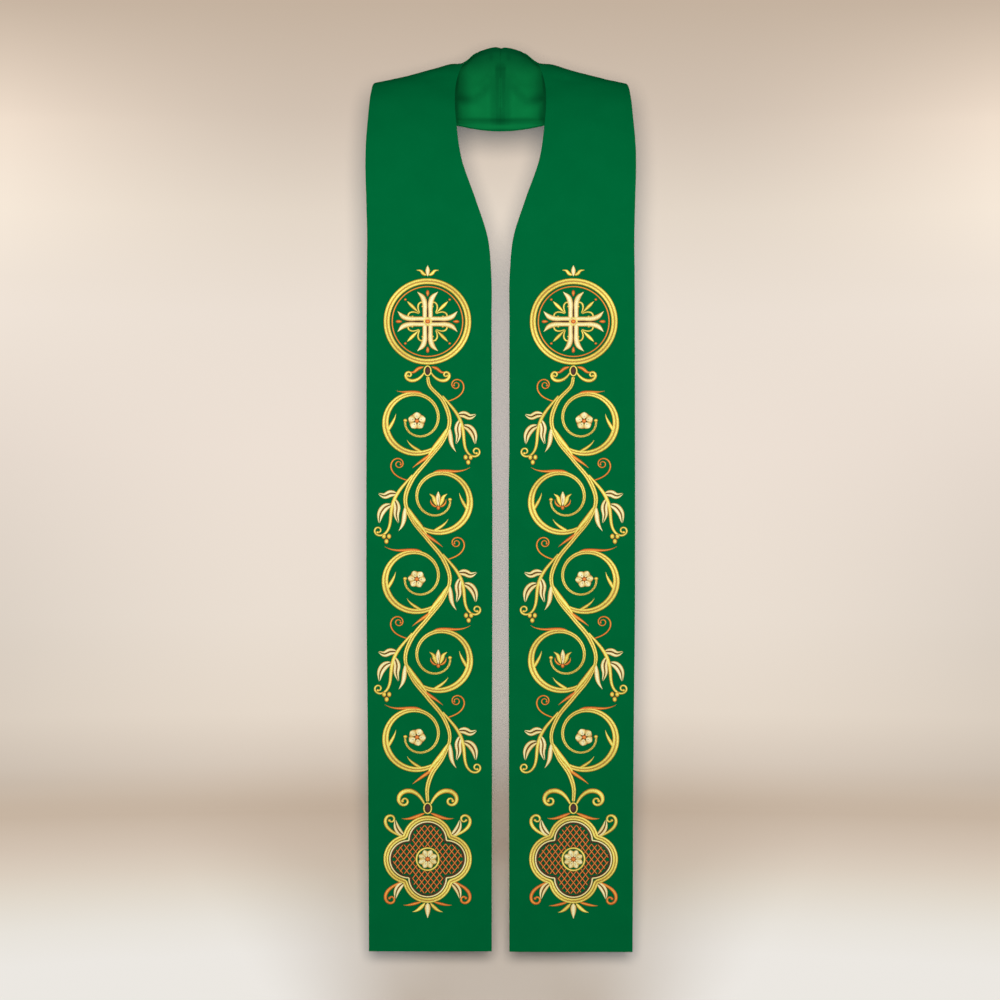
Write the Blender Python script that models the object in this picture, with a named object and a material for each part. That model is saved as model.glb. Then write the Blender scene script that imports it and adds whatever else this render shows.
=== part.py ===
"""Clerical stole, filled out as worn, with nobody in it.

Two mirrored halves meet in a seam at the centre of the back. Each half is an
outer (face) panel with a lining panel inside it. A half starts as a band that
stands up behind the neck, rolls over the shoulder and hangs straight down the
front to a square hem.

Frame: metres, +Z up, the wearer faces -Y, left and right are the wearer's, so
left is +X. The origin is the middle of the neck opening, level with the points
where the neck edges cross the tops of the shoulders.

Each half is a loft through the sections below. A section runs from the neck
edge (the edge next to the neck, and down the front next to the middle) to the
arm edge. Every wall is made from the loft's own points moved along the
surface's normals.
"""

import math
from collections import namedtuple

import bmesh
import bpy
import numpy as np

# ---- driving sizes, metres ----
FACE_WALL = 0.0013  # outer fabric with its interfacing and turnings
LINING_WALL = 0.0010  # lining fabric
SEAM_GAP = 0.0003  # kept between pieces that are sewn together
LINING_INSET = 0.0015  # the lining stops this far inside the face's edges
COLUMNS = 8  # cells across the width

# ---- sections of the left half, millimetres ----
# neck_* is the neck edge and arm_* the arm edge. bow lifts the middle of the
# section off its chord, and lean moves that swell towards the neck edge when
# positive. cells is how many rings are cut between a section and the next.
Section = namedtuple(
    "Section", "name neck_x neck_y neck_z arm_x arm_y arm_z bow lean cells"
)
SECTIONS = [
    Section("centre back", 0.0, 62.0, 27.6, 0.0, 84.0, -83.6, 1.5, 0.0, 3),
    Section("nape side", 21.0, 58.0, 23.6, 38.0, 84.5, -80.6, 2.5, 0.0, 3),
    Section("back slope", 37.0, 49.0, 15.6, 94.0, 80.0, -68.0, 5.0, 0.5, 3),
    Section("behind shoulder", 47.0, 36.0, 4.8, 133.0, 64.0, -54.0, 7.5, 1.8, 3),
    Section("over shoulder back", 52.5, 20.0, -2.6, 155.0, 42.0, -41.0, 8.5, 3.2, 3),
    Section("shoulder top", 56.5, 4.0, -15.2, 167.0, 19.0, -31.0, 8.5, 2.6, 3),
    Section("over shoulder front", 60.5, -14.0, -34.0, 172.2, -6.0, -32.5, 7.0, 1.0, 3),
    Section("collar bone", 61.5, -34.0, -56.0, 175.4, -32.0, -51.0, 4.5, 0.5, 3),
    Section("upper chest", 59.0, -54.0, -91.0, 178.0, -60.0, -90.0, 3.0, 0.0, 3),
    Section("chest", 51.5, -72.0, -141.0, 179.2, -81.0, -145.0, 2.5, 0.0, 3),
    Section("breast", 32.8, -84.0, -195.5, 177.5, -91.0, -199.0, 2.5, 0.0, 3),
    Section("below breast", 16.4, -89.0, -249.0, 176.3, -94.0, -251.0, 2.5, 0.0, 3),
    Section("front straightens", 12.6, -90.6, -291.0, 176.7, -95.0, -291.0, 2.5, 0.0, 2),
    Section("midriff", 12.2, -91.4, -360.0, 177.0, -95.0, -360.0, 2.7, 0.0, 3),
    Section("hip", 12.0, -92.0, -640.0, 176.6, -94.7, -640.0, 3.0, 0.0, 4),
    Section("knee", 12.4, -91.5, -920.0, 175.2, -93.5, -920.0, 2.0, 0.0, 4),
    Section("hem", 12.8, -91.0, -1193.6, 174.0, -92.5, -1193.6, 1.5, 0.0, 0),
]
MM = 0.001

# ---- finishes: colour, roughness, metallic ----
FACE_FINISH = ((0.001, 0.130, 0.037, 1.0), 0.85, 0.0)
LINING_FINISH = ((0.004, 0.152, 0.040, 1.0), 0.45, 0.0)


def section_columns():
    """The sections' numbers as an array in metres, one row a section."""
    return np.array([[v * MM for v in s[1:9]] for s in SECTIONS])


def stations(rows):
    """Each section's distance along the half, measured up the middle."""
    middle = (rows[:, 0:3] + rows[:, 3:6]) / 2
    steps = np.linalg.norm(np.diff(middle, axis=0), axis=1)
    return np.concatenate([[0.0], np.cumsum(steps)])


def mirrored(row):
    """A section's twin in the other half."""
    twin = row.copy()
    twin[[0, 3]] *= -1
    return twin


class Loft:
    """A smooth surface through the sections: at(along, across) is a point."""

    def __init__(self):
        rows = section_columns()
        along = stations(rows)
        self.length = along[-1]
        self.marks = along
        # the first section's neighbour on the other side of the seam makes
        # the surface cross the middle of the back squarely
        self.u = np.concatenate([[-along[1]], along])
        self.rows = np.vstack([mirrored(rows[1]), rows])
        slope = np.diff(self.rows, axis=0) / np.diff(self.u)[:, None]
        gap = np.diff(self.u)[:, None]
        inner = (slope[:-1] * gap[1:] + slope[1:] * gap[:-1]) / (gap[1:] + gap[:-1])
        self.tangent = np.vstack([slope[:1], inner, slope[-1:]])

    def section(self, along):
        along = min(max(along, 0.0), self.length)
        k = int(np.searchsorted(self.u, along, side="right")) - 1
        k = min(max(k, 0), len(self.u) - 2)
        h = self.u[k + 1] - self.u[k]
        t = (along - self.u[k]) / h
        a, b = self.rows[k], self.rows[k + 1]
        ta, tb = self.tangent[k] * h, self.tangent[k + 1] * h
        t2, t3 = t * t, t * t * t
        value = (
            (2 * t3 - 3 * t2 + 1) * a
            + (t3 - 2 * t2 + t) * ta
            + (3 * t2 - 2 * t3) * b
            + (t3 - t2) * tb
        )
        rate = (
            (6 * t2 - 6 * t) * a
            + (3 * t2 - 4 * t + 1) * ta
            + (6 * t - 6 * t2) * b
            + (3 * t2 - 2 * t) * tb
        ) / h
        return value, rate

    def at(self, along, across):
        value, rate = self.section(along)
        neck, arm = value[0:3], value[3:6]
        chord = arm - neck
        travel = rate[0:3] * (1 - across) + rate[3:6] * across
        middle_travel = (rate[0:3] + rate[3:6]) / 2
        out = np.cross(middle_travel, chord)
        out /= np.linalg.norm(out)
        lift = value[6] * math.sin(math.pi * across)
        lift += value[7] * math.sin(2 * math.pi * across)
        return neck + chord * across + out * lift, travel

    def normal(self, along, across):
        d = 0.0005
        a0, a1 = max(along - d, 0.0), min(along + d, self.length)
        c0, c1 = max(across - 0.01, 0.0), min(across + 0.01, 1.0)
        travel = self.at(a1, across)[0] - self.at(a0, across)[0]
        chord = self.at(along, c1)[0] - self.at(along, c0)[0]
        if along <= 0.0:
            travel = np.array([1.0, 0.0, 0.0])
            chord[0] = 0.0
        out = np.cross(travel, chord)
        return out / np.linalg.norm(out)


def ring_places(loft):
    """Distances of the rings: cells of each section spread to the next."""
    places = []
    for k, section in enumerate(SECTIONS[:-1]):
        a, b = loft.marks[k], loft.marks[k + 1]
        places += [a + (b - a) * i / section.cells for i in range(section.cells)]
    return places + [loft.marks[-1]]


def surface_grid(loft):
    """Points and normals, rings along the half by columns across it."""
    rings = ring_places(loft)
    across = [j / COLUMNS for j in range(COLUMNS + 1)]
    points = np.array([[loft.at(u, t)[0] for t in across] for u in rings])
    normals = np.array([[loft.normal(u, t) for t in across] for u in rings])
    points[0, :, 0] = SEAM_GAP / 2
    return points, normals


def moved_in(points, inset):
    """The same grid with its two long edges and its hem moved in."""
    grid = points.copy()
    for edge, next_in in ((0, 1), (-1, -2)):
        step = grid[:, next_in] - grid[:, edge]
        size = np.linalg.norm(step, axis=1, keepdims=True)
        grid[:, edge] += step / size * inset
    step = grid[-2] - grid[-1]
    grid[-1] += step / np.linalg.norm(step, axis=1, keepdims=True) * inset
    return grid


def wall(name, points, normals, depth, thickness, mirror, finish):
    """One closed wall: two skins a thickness apart and a rim all round.
    depth is how far the wall's middle lies under the grid."""
    rings, columns = points.shape[:2]
    outer = points + normals * (thickness / 2 - depth)
    inner = points - normals * (thickness / 2 + depth)
    bm = bmesh.new()
    side = -1.0 if mirror else 1.0

    def skin(grid):
        return [[bm.verts.new((side * p[0], p[1], p[2])) for p in row] for row in grid]

    top, under = skin(outer), skin(inner)

    def face(*corners):
        bm.faces.new(corners[::-1] if mirror else corners)

    for i in range(rings - 1):
        for j in range(columns - 1):
            a, b, c, d = (i, j), (i + 1, j), (i + 1, j + 1), (i, j + 1)
            for p, q, r in ((a, b, c), (a, c, d)):
                face(*(top[m][n] for m, n in (p, q, r)))
                face(*(under[m][n] for m, n in (r, q, p)))
    loop = [(0, j) for j in range(columns)]
    loop += [(i, columns - 1) for i in range(1, rings)]
    loop += [(rings - 1, j) for j in range(columns - 2, -1, -1)]
    loop += [(i, 0) for i in range(rings - 2, 0, -1)]
    for (i, j), (m, n) in zip(loop, loop[1:] + loop[:1]):
        face(top[i][j], top[m][n], under[m][n], under[i][j])
    bmesh.ops.triangulate(bm, faces=[f for f in bm.faces if len(f.verts) > 3])

    mesh = bpy.data.meshes.new(name)
    bm.to_mesh(mesh)
    bm.free()
    mesh.shade_smooth()
    mesh.set_sharp_from_angle(angle=math.radians(40))
    colour, roughness, metallic = finish
    material = bpy.data.materials.new(name + "_cloth")
    material.use_nodes = True
    shader = material.node_tree.nodes["Principled BSDF"]
    shader.inputs["Base Color"].default_value = colour
    shader.inputs["Roughness"].default_value = roughness
    shader.inputs["Metallic"].default_value = metallic
    material.diffuse_color = colour
    mesh.materials.append(material)
    piece = bpy.data.objects.new(name, mesh)
    bpy.context.scene.collection.objects.link(piece)
    return piece


def main():
    for old in list(bpy.data.objects):
        bpy.data.objects.remove(old, do_unlink=True)
    points, normals = surface_grid(Loft())
    lining_points = moved_in(points, LINING_INSET)
    lining_depth = (FACE_WALL + LINING_WALL) / 2 + SEAM_GAP
    for side, mirror in (("left", False), ("right", True)):
        wall("face_" + side, points, normals, 0.0, FACE_WALL, mirror, FACE_FINISH)
        wall(
            "lining_" + side,
            lining_points,
            normals,
            lining_depth,
            LINING_WALL,
            mirror,
            LINING_FINISH,
        )


main()
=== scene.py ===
"""Looks of the clerical stole: cloth shells, lining, embroidery, stage, light and camera.

Sizes are metres in the row frame: +Z up, the wearer faces -Y, left is +X.
"""

import math
import random
from collections import namedtuple

import bpy
import numpy as np
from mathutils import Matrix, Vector


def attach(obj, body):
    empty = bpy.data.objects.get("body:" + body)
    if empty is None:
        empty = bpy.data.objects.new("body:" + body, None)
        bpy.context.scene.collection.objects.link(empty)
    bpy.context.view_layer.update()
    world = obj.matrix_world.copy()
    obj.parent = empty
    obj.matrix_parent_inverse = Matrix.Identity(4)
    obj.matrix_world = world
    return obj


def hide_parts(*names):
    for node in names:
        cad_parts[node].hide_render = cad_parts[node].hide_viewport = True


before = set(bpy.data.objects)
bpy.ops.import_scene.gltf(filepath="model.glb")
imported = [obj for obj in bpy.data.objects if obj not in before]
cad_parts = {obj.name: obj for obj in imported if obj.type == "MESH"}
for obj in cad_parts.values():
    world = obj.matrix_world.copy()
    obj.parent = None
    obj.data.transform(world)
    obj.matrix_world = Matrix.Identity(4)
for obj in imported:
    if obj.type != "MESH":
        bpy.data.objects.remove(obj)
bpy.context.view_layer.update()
MM = 0.001
PI = math.pi

# ------------------------------------------------------------------ sizes
FACE_T = 1.1 * MM  # face cloth with its interlining
LINING_T = 0.6 * MM
LAYER_GAP = 0.15 * MM
LINING_INSET = 1.9 * MM  # the face's turned edge shows this wide inside
TURNING = 7.4 * MM  # seam allowance pressed inside the long edges
HEM_TURNING = 5.2 * MM

# The camera's distance from the plane of the fronts, and that plane
VIEW_DISTANCE = 4.2
FRONT_Y = -0.09
EYE = (-0.00067, FRONT_Y - VIEW_DISTANCE, -0.595)
VIEW_WIDTH = 1.33  # metres across the picture at the plane of the fronts

# ------------------------------------------------------------------ form
# Sections of the left half in millimetres, as the CAD walls follow them.
Section = namedtuple(
    "Section", "name neck_x neck_y neck_z arm_x arm_y arm_z bow lean"
)
SECTIONS = [
    Section("centre back", 0.0, 62.0, 27.6, 0.0, 84.0, -83.6, 1.5, 0.0),
    Section("nape side", 21.0, 58.0, 23.6, 38.0, 84.5, -80.6, 2.5, 0.0),
    Section("back slope", 37.0, 49.0, 15.6, 94.0, 80.0, -68.0, 5.0, 0.5),
    Section("behind shoulder", 47.0, 36.0, 4.8, 133.0, 64.0, -54.0, 7.5, 1.8),
    Section("over shoulder back", 52.5, 20.0, -2.6, 155.0, 42.0, -41.0, 8.5, 3.2),
    Section("shoulder top", 56.5, 4.0, -15.2, 167.0, 19.0, -31.0, 8.5, 2.6),
    Section("over shoulder front", 60.5, -14.0, -34.0, 172.2, -6.0, -32.5, 7.0, 1.0),
    Section("collar bone", 61.5, -34.0, -56.0, 175.4, -32.0, -51.0, 4.5, 0.5),
    Section("upper chest", 59.0, -54.0, -91.0, 178.0, -60.0, -90.0, 3.0, 0.0),
    Section("chest", 51.5, -72.0, -141.0, 179.2, -81.0, -145.0, 2.5, 0.0),
    Section("breast", 32.8, -84.0, -195.5, 177.5, -91.0, -199.0, 2.5, 0.0),
    Section("below breast", 16.4, -89.0, -249.0, 176.3, -94.0, -251.0, 2.5, 0.0),
    Section("front straightens", 12.6, -90.6, -291.0, 176.7, -95.0, -291.0, 2.5, 0.0),
    Section("midriff", 12.2, -91.4, -360.0, 177.0, -95.0, -360.0, 2.7, 0.0),
    Section("hip", 12.0, -92.0, -640.0, 176.6, -94.7, -640.0, 3.0, 0.0),
    Section("knee", 12.4, -91.5, -920.0, 175.2, -93.5, -920.0, 2.0, 0.0),
    Section("hem", 12.8, -91.0, -1193.6, 174.0, -92.5, -1193.6, 1.5, 0.0),
]


class Loft:
    """The left half's middle surface. u is metres along it from the centre
    back, t runs 0 to 1 from the neck edge to the arm edge."""

    def __init__(self):
        rows = np.array([[v * MM for v in s[1:9]] for s in SECTIONS])
        middle = (rows[:, 0:3] + rows[:, 3:6]) / 2
        u = np.concatenate(
            [[0.0], np.cumsum(np.linalg.norm(np.diff(middle, axis=0), axis=1))]
        )
        self.length = float(u[-1])
        twin = rows[1].copy()
        twin[[0, 3]] *= -1
        self.u = np.concatenate([[-u[1]], u])
        self.rows = np.vstack([twin, rows])
        gap = np.diff(self.u)[:, None]
        slope = np.diff(self.rows, axis=0) / gap
        inner = (slope[:-1] * gap[1:] + slope[1:] * gap[:-1]) / (gap[1:] + gap[:-1])
        self.tangent = np.vstack([slope[:1], inner, slope[-1:]])
        # the width measured on the surface, and each station's height
        self.grid_u = np.linspace(0, self.length, 1349)
        tt = np.linspace(0, 1, 33)
        pts = self.at(self.grid_u[:, None], tt[None, :])
        steps = np.linalg.norm(np.diff(pts, axis=1), axis=2)
        self.grid_width = steps.sum(1)
        self.grid_z = pts[:, 16, 2]

    def section(self, u):
        u = np.clip(u, 0.0, self.length)
        k = np.clip(np.searchsorted(self.u, u, side="right") - 1, 0, len(self.u) - 2)
        h = (self.u[k + 1] - self.u[k])[..., None]
        t = (u - self.u[k])[..., None] / h
        a, b = self.rows[k], self.rows[k + 1]
        ta, tb = self.tangent[k] * h, self.tangent[k + 1] * h
        t2, t3 = t * t, t * t * t
        value = (
            (2 * t3 - 3 * t2 + 1) * a
            + (t3 - 2 * t2 + t) * ta
            + (3 * t2 - 2 * t3) * b
            + (t3 - t2) * tb
        )
        rate = (
            (6 * t2 - 6 * t) * a
            + (3 * t2 - 4 * t + 1) * ta
            + (6 * t - 6 * t2) * b
            + (3 * t2 - 2 * t) * tb
        ) / h
        return value, rate

    def at(self, u, t):
        u, t = np.broadcast_arrays(np.asarray(u, float), np.asarray(t, float))
        value, rate = self.section(u)
        neck, arm = value[..., 0:3], value[..., 3:6]
        chord = arm - neck
        out = np.cross((rate[..., 0:3] + rate[..., 3:6]) / 2, chord)
        out /= np.linalg.norm(out, axis=-1, keepdims=True)
        lift = value[..., 6] * np.sin(PI * t) + value[..., 7] * np.sin(2 * PI * t)
        return neck + chord * t[..., None] + out * lift[..., None]

    def normal(self, u, t):
        u, t = np.broadcast_arrays(np.asarray(u, float), np.asarray(t, float))
        d = 0.4 * MM
        u0, u1 = np.clip(u - d, 0, self.length), np.clip(u + d, 0, self.length)
        t0, t1 = np.clip(t - 0.008, 0, 1), np.clip(t + 0.008, 0, 1)
        travel = self.at(u1, t) - self.at(u0, t)
        chord = self.at(u, t1) - self.at(u, t0)
        seam = (u <= 1e-9)[..., None]
        travel = np.where(seam, np.array([1.0, 0.0, 0.0]), travel)
        chord = np.where(seam, chord * np.array([0.0, 1.0, 1.0]), chord)
        out = np.cross(travel, chord)
        return out / np.linalg.norm(out, axis=-1, keepdims=True)

    def width(self, u):
        return np.interp(u, self.grid_u, self.grid_width)

    def u_at_height(self, z):
        """Where the fronts are at this height, below the breast."""
        keep = self.grid_u > 0.35
        return np.interp(-z, -self.grid_z[keep], self.grid_u[keep])


LOFT = Loft()
HALF = LOFT.length


# ------------------------------------------------------------------ relief
def smooth(a, b, x):
    """0 below a, 1 above b, smooth between."""
    t = np.clip((x - a) / (b - a), 0, 1)
    return t * t * (3 - 2 * t)


def bump(x, centre, reach):
    """A soft ridge of height 1 at centre, gone by about twice reach."""
    return np.exp(-(((x - centre) / reach) ** 2))


def curve(x, places, values):
    """A smooth curve through these values, level at both ends."""
    places, values = np.array(places, float), np.array(values, float)
    slope = np.zeros(len(values))
    slope[1:-1] = (values[2:] - values[:-2]) / (places[2:] - places[:-2])
    x = np.clip(x, places[0], places[-1])
    k = np.clip(np.searchsorted(places, x, side="right") - 1, 0, len(places) - 2)
    gap = places[k + 1] - places[k]
    t = (x - places[k]) / gap
    t2, t3 = t * t, t * t * t
    return (
        (2 * t3 - 3 * t2 + 1) * values[k]
        + (t3 - 2 * t2 + t) * gap * slope[k]
        + (3 * t2 - 2 * t3) * values[k + 1]
        + (t3 - t2) * gap * slope[k + 1]
    )


class Ripples:
    """Seeded soft unevenness: a few sine waves in random directions."""

    def __init__(self, seed, count, shortest, longest):
        rnd = random.Random(seed)
        self.waves = []
        for _ in range(count):
            length = math.exp(rnd.uniform(math.log(shortest), math.log(longest)))
            angle = rnd.uniform(0, 2 * PI)
            self.waves.append(
                (
                    2 * PI * math.cos(angle) / length,
                    2 * PI * math.sin(angle) / length,
                    rnd.uniform(0, 2 * PI),
                    math.sqrt(length / longest),
                )
            )
        self.scale = 1 / math.sqrt(sum(w[3] ** 2 for w in self.waves) / 2)

    def __call__(self, a, b):
        total = 0.0
        for ka, kb, phase, size in self.waves:
            total = total + size * np.sin(ka * a + kb * b + phase)
        return total * self.scale


def fold(x, y, path, reach, ends=0.25):
    """A soft ridge of height 1 along a short path of (x, y) points, fading at
    both ends over that share of its length."""
    x, y = np.broadcast_arrays(x, y)
    pts = np.array(path, float)
    seg = np.diff(pts, axis=0)
    size = np.linalg.norm(seg, axis=1)
    along = np.concatenate([[0], np.cumsum(size)])
    best = np.full(x.shape, 1e9)
    where = np.zeros(x.shape)
    for k in range(len(seg)):
        dx, dy = x - pts[k, 0], y - pts[k, 1]
        raw = (dx * seg[k, 0] + dy * seg[k, 1]) / size[k] ** 2
        t = np.clip(raw, 0, 1)
        off = np.hypot(dx - t * seg[k, 0], dy - t * seg[k, 1])
        nearer = off < best
        best = np.where(nearer, off, best)
        where = np.where(nearer, along[k] + t * size[k], where)
    share = where / along[-1]
    fade = smooth(0, ends, share) * smooth(0, ends, 1 - share)
    return np.exp(-((best / reach) ** 2)) * (0.15 + 0.85 * fade)


# How much higher the band's top edge rolls, in mm, at these distances from the seam
ROLL = [1.3, 1.2, 1.1, 0.6, 0.2, 0.3, 0.5, 0.9, 0.0]


class Relief:
    """How far the cloth stands off the smooth form, outwards, for one half."""

    def __init__(self, side):
        self.side = side
        seed = 11 if side > 0 else 29
        self.drape = Ripples(seed, 7, 0.16, 0.55)
        self.body = Ripples(seed + 1, 9, 0.035, 0.11)
        self.edge = Ripples(seed + 2, 6, 0.011, 0.03)
        self.loose = Ripples(seed + 3, 9, 0.03, 0.09)
        # creases over and behind the shoulder: u and w in mm, reach, depth mm
        k = 1.0 if side > 0 else -1.0
        self.creases = [
            # over the shoulder, running from the neck edge outwards
            ([(118 + 3 * k, 6), (128, 34), (143 - 4 * k, 62)], 7.0, -0.55),
            ([(150, 4), (158 + 4 * k, 30), (170, 52 + 6 * k)], 6.0, -0.45),
            ([(96, 40 + 5 * k), (104, 70), (120 + 4 * k, 100)], 9.0, -0.6),
            ([(136, 112), (150 - 3 * k, 92), (168, 78)], 8.0, -0.4),
            # drag lines from the neck edge down the chest
            ([(196, 5), (222 + 5 * k, 24), (262, 38)], 8.0, -0.35),
            ([(210 - 6 * k, 108), (246, 96), (300, 90 + 4 * k)], 10.0, -0.3),
            ([(330, 20 + 3 * k), (380, 34), (432, 40)], 10.0, -0.25),
            # soft folds of the hanging front
            ([(560 + 20 * k, 118), (690, 124), (850, 120 - 5 * k)], 14.0, 0.35),
            ([(820, 36 + 4 * k), (960, 30), (1130 + 15 * k, 33)], 15.0, 0.35),
            ([(1040 - 20 * k, 132), (1150, 128), (1260, 131)], 12.0, -0.3),
        ]

    def nape(self, u, w, width, part):
        """The slack band behind the neck, by x and z in millimetres. part is 1
        for what both layers do and 0 for what the lining does beyond that."""
        place = LOFT.at(u, np.clip(w / width, 0, 1)) / MM
        x, z = place[..., 0], place[..., 2]
        k = 1.0 if self.side > 0 else -1.0
        near = 1 - smooth(0.075, 0.115, u)
        seam = 1 - 0.8 * np.exp(-((x / 7.5) ** 2))
        both = part > 0.5
        # what swells towards the neck is negative
        tent = fold(x, z, [(11, 3), (22, -6 - k), (37, -21), (41, -27 - 2 * k)], 7.0, 0.3)
        h = -(1.3 if both else 1.0) * tent * seam
        swell = bump(x, 34 + 2 * k, 22) * bump(z, -56 - k, 10.5)
        swell = np.maximum(swell, 0.75 * bump(x, 17 + k, 9.5) * bump(z, -46, 20))
        h = h - (1.9 if both else 1.6) * swell * seam
        if both:
            # the dark fold between the two, and the crease across below them
            h = h + 1.6 * fold(x, z, [(14, -16), (24, -33), (36, -42 - k), (56, -43)], 5.2, 0.3)
            h = h + 2.2 * bump(z, -70, 2.9) * (1 - 0.2 * bump(x, 30, 14))
        h = h - (1.9 if both else 0.5) * bump(z, -77.8, 4.4)
        return h * near * MM

    def painted_shade(self, u, w, width):
        """Painted shade for the lining behind the neck, 0 to 1: it is painted darker where it lies deep in the bowl
        there, near its top edge, at its sides, beside the seam and down in its folds."""
        place = LOFT.at(u, np.clip(w / width, 0, 1)) / MM
        x, z = place[..., 0], place[..., 2]
        k = 1.0 if self.side > 0 else -1.0
        mm = w / MM
        swell = bump(x, 34 + 2 * k, 24) * bump(z, -57 - k, 12)
        swell = np.maximum(swell, 0.8 * bump(x, 18 + k, 10) * bump(z, -46, 20))
        shade_amount = curve(mm, [0, 3, 8, 14, 20, 27, 34, 46], [1, 1, 0.78, 0.62, 0.4, 0.18, 0.04, 0.0])
        down = [-30, 10, 18, 28, 34, 40, 46, 51, 57, 64, 72, 80]
        sides = curve(-z, down, [0.2, 0.2, 0.36, 0.5, 0.68, 0.8, 0.5, 0.26, 0.18, 0.3, 0.36, 0.2])
        shade_amount = np.maximum(shade_amount, sides * smooth(33, 58, x))
        shade_amount = np.maximum(shade_amount, 0.76 * smooth(54.5, 60, x))
        edge = curve(-z, [44, 49, 56, 63, 70, 74], [0.1, 0.5, 0.6, 0.72, 0.7, 0.0])
        shade_amount = np.maximum(shade_amount, (0.84 + 0.16 * k) * edge * smooth(47, 58, x))
        shade_amount = shade_amount + 0.04 * (1 - swell) - 0.07 * bump(x, 32, 14) * bump(z, -14, 12)
        shade_amount = shade_amount + 0.12 * bump(x, 22, 12) * smooth(-36, -46, z)
        beside = curve(-z, [-10, 4, 12, 36, 52, 64], [0.3, 0.16, 0.24, 0.36, 0.33, 0.46])
        shade_amount = np.maximum(shade_amount, beside * (1 - smooth(9, 20, x)))
        ridge = bump(x, 0, 1.6) * smooth(-56, -48, z) * (1 - smooth(-18, -8, z))
        seam = (1 - smooth(5.0, 10.5, x)) * (1 - 0.8 * ridge)
        shade_amount = np.maximum(shade_amount, (0.51 + 0.15 * smooth(-56, -66, z)) * seam)
        shade_amount = shade_amount + 0.13 * bump(x, 12.2 - 0.8 * k, 3.0) * bump(z, 15, 5)
        shade_amount = shade_amount + 0.14 * bump(z, 0, 2.4) * (1 - smooth(6, 10, x))
        path = [(14, -16), (24, -33), (36, -42 - k), (56, -43)]
        shade_amount = shade_amount + 0.3 * fold(x, z, path, 5.5, 0.25)
        strong = curve(x, [0, 12, 22, 38, 50], [0.7, 0.64, 0.58, 0.5, 0.28])
        shade_amount = np.maximum(shade_amount, 0.4 * shade_amount + strong * bump(z, -69.2, 3.8))
        strip = curve(x, [0, 12, 34, 46, 58], [0.14, 0.15, 0.15, 0.06, 0.0])
        shade_amount = shade_amount * (1 - 0.85 * smooth(-72, -76.5, z)) + strip * smooth(-72, -76.5, z)
        shade_amount = shade_amount + 0.4 * smooth(108.5, 112, mm)
        return np.clip(shade_amount, 0, 1) * (1 - smooth(0.12, 0.2, u))

    def fit(self, u, w, width):
        """Small shifts of the smooth form, left half, in metres: the roll of
        slack cloth at the top of the band, the seam's notch in it, the padded
        shoulders, the panels' pressed width and the hems' uneven drop."""
        t = w / width
        place = LOFT.at(u, np.clip(t, 0, 1)) / MM
        x, z = place[..., 0], place[..., 2]
        mm = u / MM
        k = 1.0 if self.side > 0 else -1.0
        roll = curve(mm, [0, 9, 17, 25, 33, 41, 50, 62, 80], ROLL)
        up = (roll - 0.25 * k * (1 - smooth(50, 70, mm))) * (1 - smooth(0, 34 * MM, w))
        up = up - 1.7 * np.exp(-((mm / 4.6) ** 2)) * (1 - smooth(0, 15 * MM, w))
        up = up - 0.9 * (1 - smooth(0, 60, mm)) * smooth(80 * MM, 114 * MM, w)
        pad = (2.4 - 0.5 * k) * bump(x, 150, 26) * smooth(-85, -45, z)
        pad = pad + (2.3 - 0.3 * k) * bump(x, 68, 13) * smooth(-46, -18, z)
        up = up + pad * smooth(70, 110, mm)
        down = (1.75 + 0.35 * k) * smooth(HALF - 0.16, HALF, u)
        front = smooth(-70, -130, z) * smooth(0.13, 0.2, u)
        wide = 1.2 + 0.3 * k + 0.9 * bump(z, -720, 170) * front
        arm = wide * smooth(0.45, 1, t) * front
        neck = 0.25 + 1.0 * smooth(-520, -600, z) - 0.2 * smooth(-1000, -1100, z)
        neck = neck * (1 - smooth(0, 0.55, t)) * smooth(-250, -330, z)
        shift = np.zeros(x.shape + (3,))
        shift[..., 0] = arm - neck
        shift[..., 2] = up - down
        return shift * MM

    def seam_pull(self, u):
        """Small puckers that a seam at the centre back draws in."""
        near = np.exp(-u / (9 * MM))
        return near

    def both(self, u, w, width):
        """Common to the face and the lining."""
        front = smooth(0.36, 0.56, u)
        h = 0.55 * MM * self.drape(u, w * 1.4) * front
        h = h + 0.16 * MM * self.body(u, w)
        for path, reach, depth in self.creases:
            pts = [(a * MM, b * MM) for a, b in path]
            h = h + depth * MM * fold(u, w, pts, reach * MM)
        h = h + self.nape(u, w, width, 1.0)
        # the top edge behind the neck flares a little
        top = 1 - smooth(0.022, 0.054, u)
        h = h + top * 4.2 * MM * np.clip(1 - w / (17 * MM), 0, 1) ** 2
        return h

    def face(self, u, w, width):
        h = self.both(u, w, width)
        from_edge = np.minimum(w, width - w)
        # the turnings pressed inside the long edges and the hem
        step = 1 - smooth(TURNING - 0.7 * MM, TURNING + 0.7 * MM, from_edge)
        hem = 1 - smooth(HEM_TURNING - 0.6 * MM, HEM_TURNING + 0.6 * MM, HALF - u)
        h = h + 0.2 * MM * np.maximum(step, hem)
        h = h + 0.05 * MM * bump(from_edge, TURNING, 0.6 * MM)
        # seam pull along the edges
        h = h + 0.1 * MM * self.edge(u, w * 0.3) * np.exp(-from_edge / (4.5 * MM))
        # centre-back seam: pressed open, so a shallow raised strip with a groove
        h = h + 0.22 * MM * (1 - smooth(11 * MM, 13 * MM, u))
        h = h + 0.18 * MM * self.edge(w, u * 0.3) * self.seam_pull(u)
        return h

    def lining(self, u, w, width):
        """Outwards too: what bulges towards the wearer is negative."""
        h = self.both(u, w, width)
        from_edge = np.minimum(w, width - w)
        free = smooth(1.5 * MM, 10 * MM, from_edge) * smooth(0, 6 * MM, HALF - u)
        h = h - (0.18 * MM + 0.16 * MM * self.loose(u, w)) * free
        h = h + self.nape(u, w, width, 0.0) * free
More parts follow.
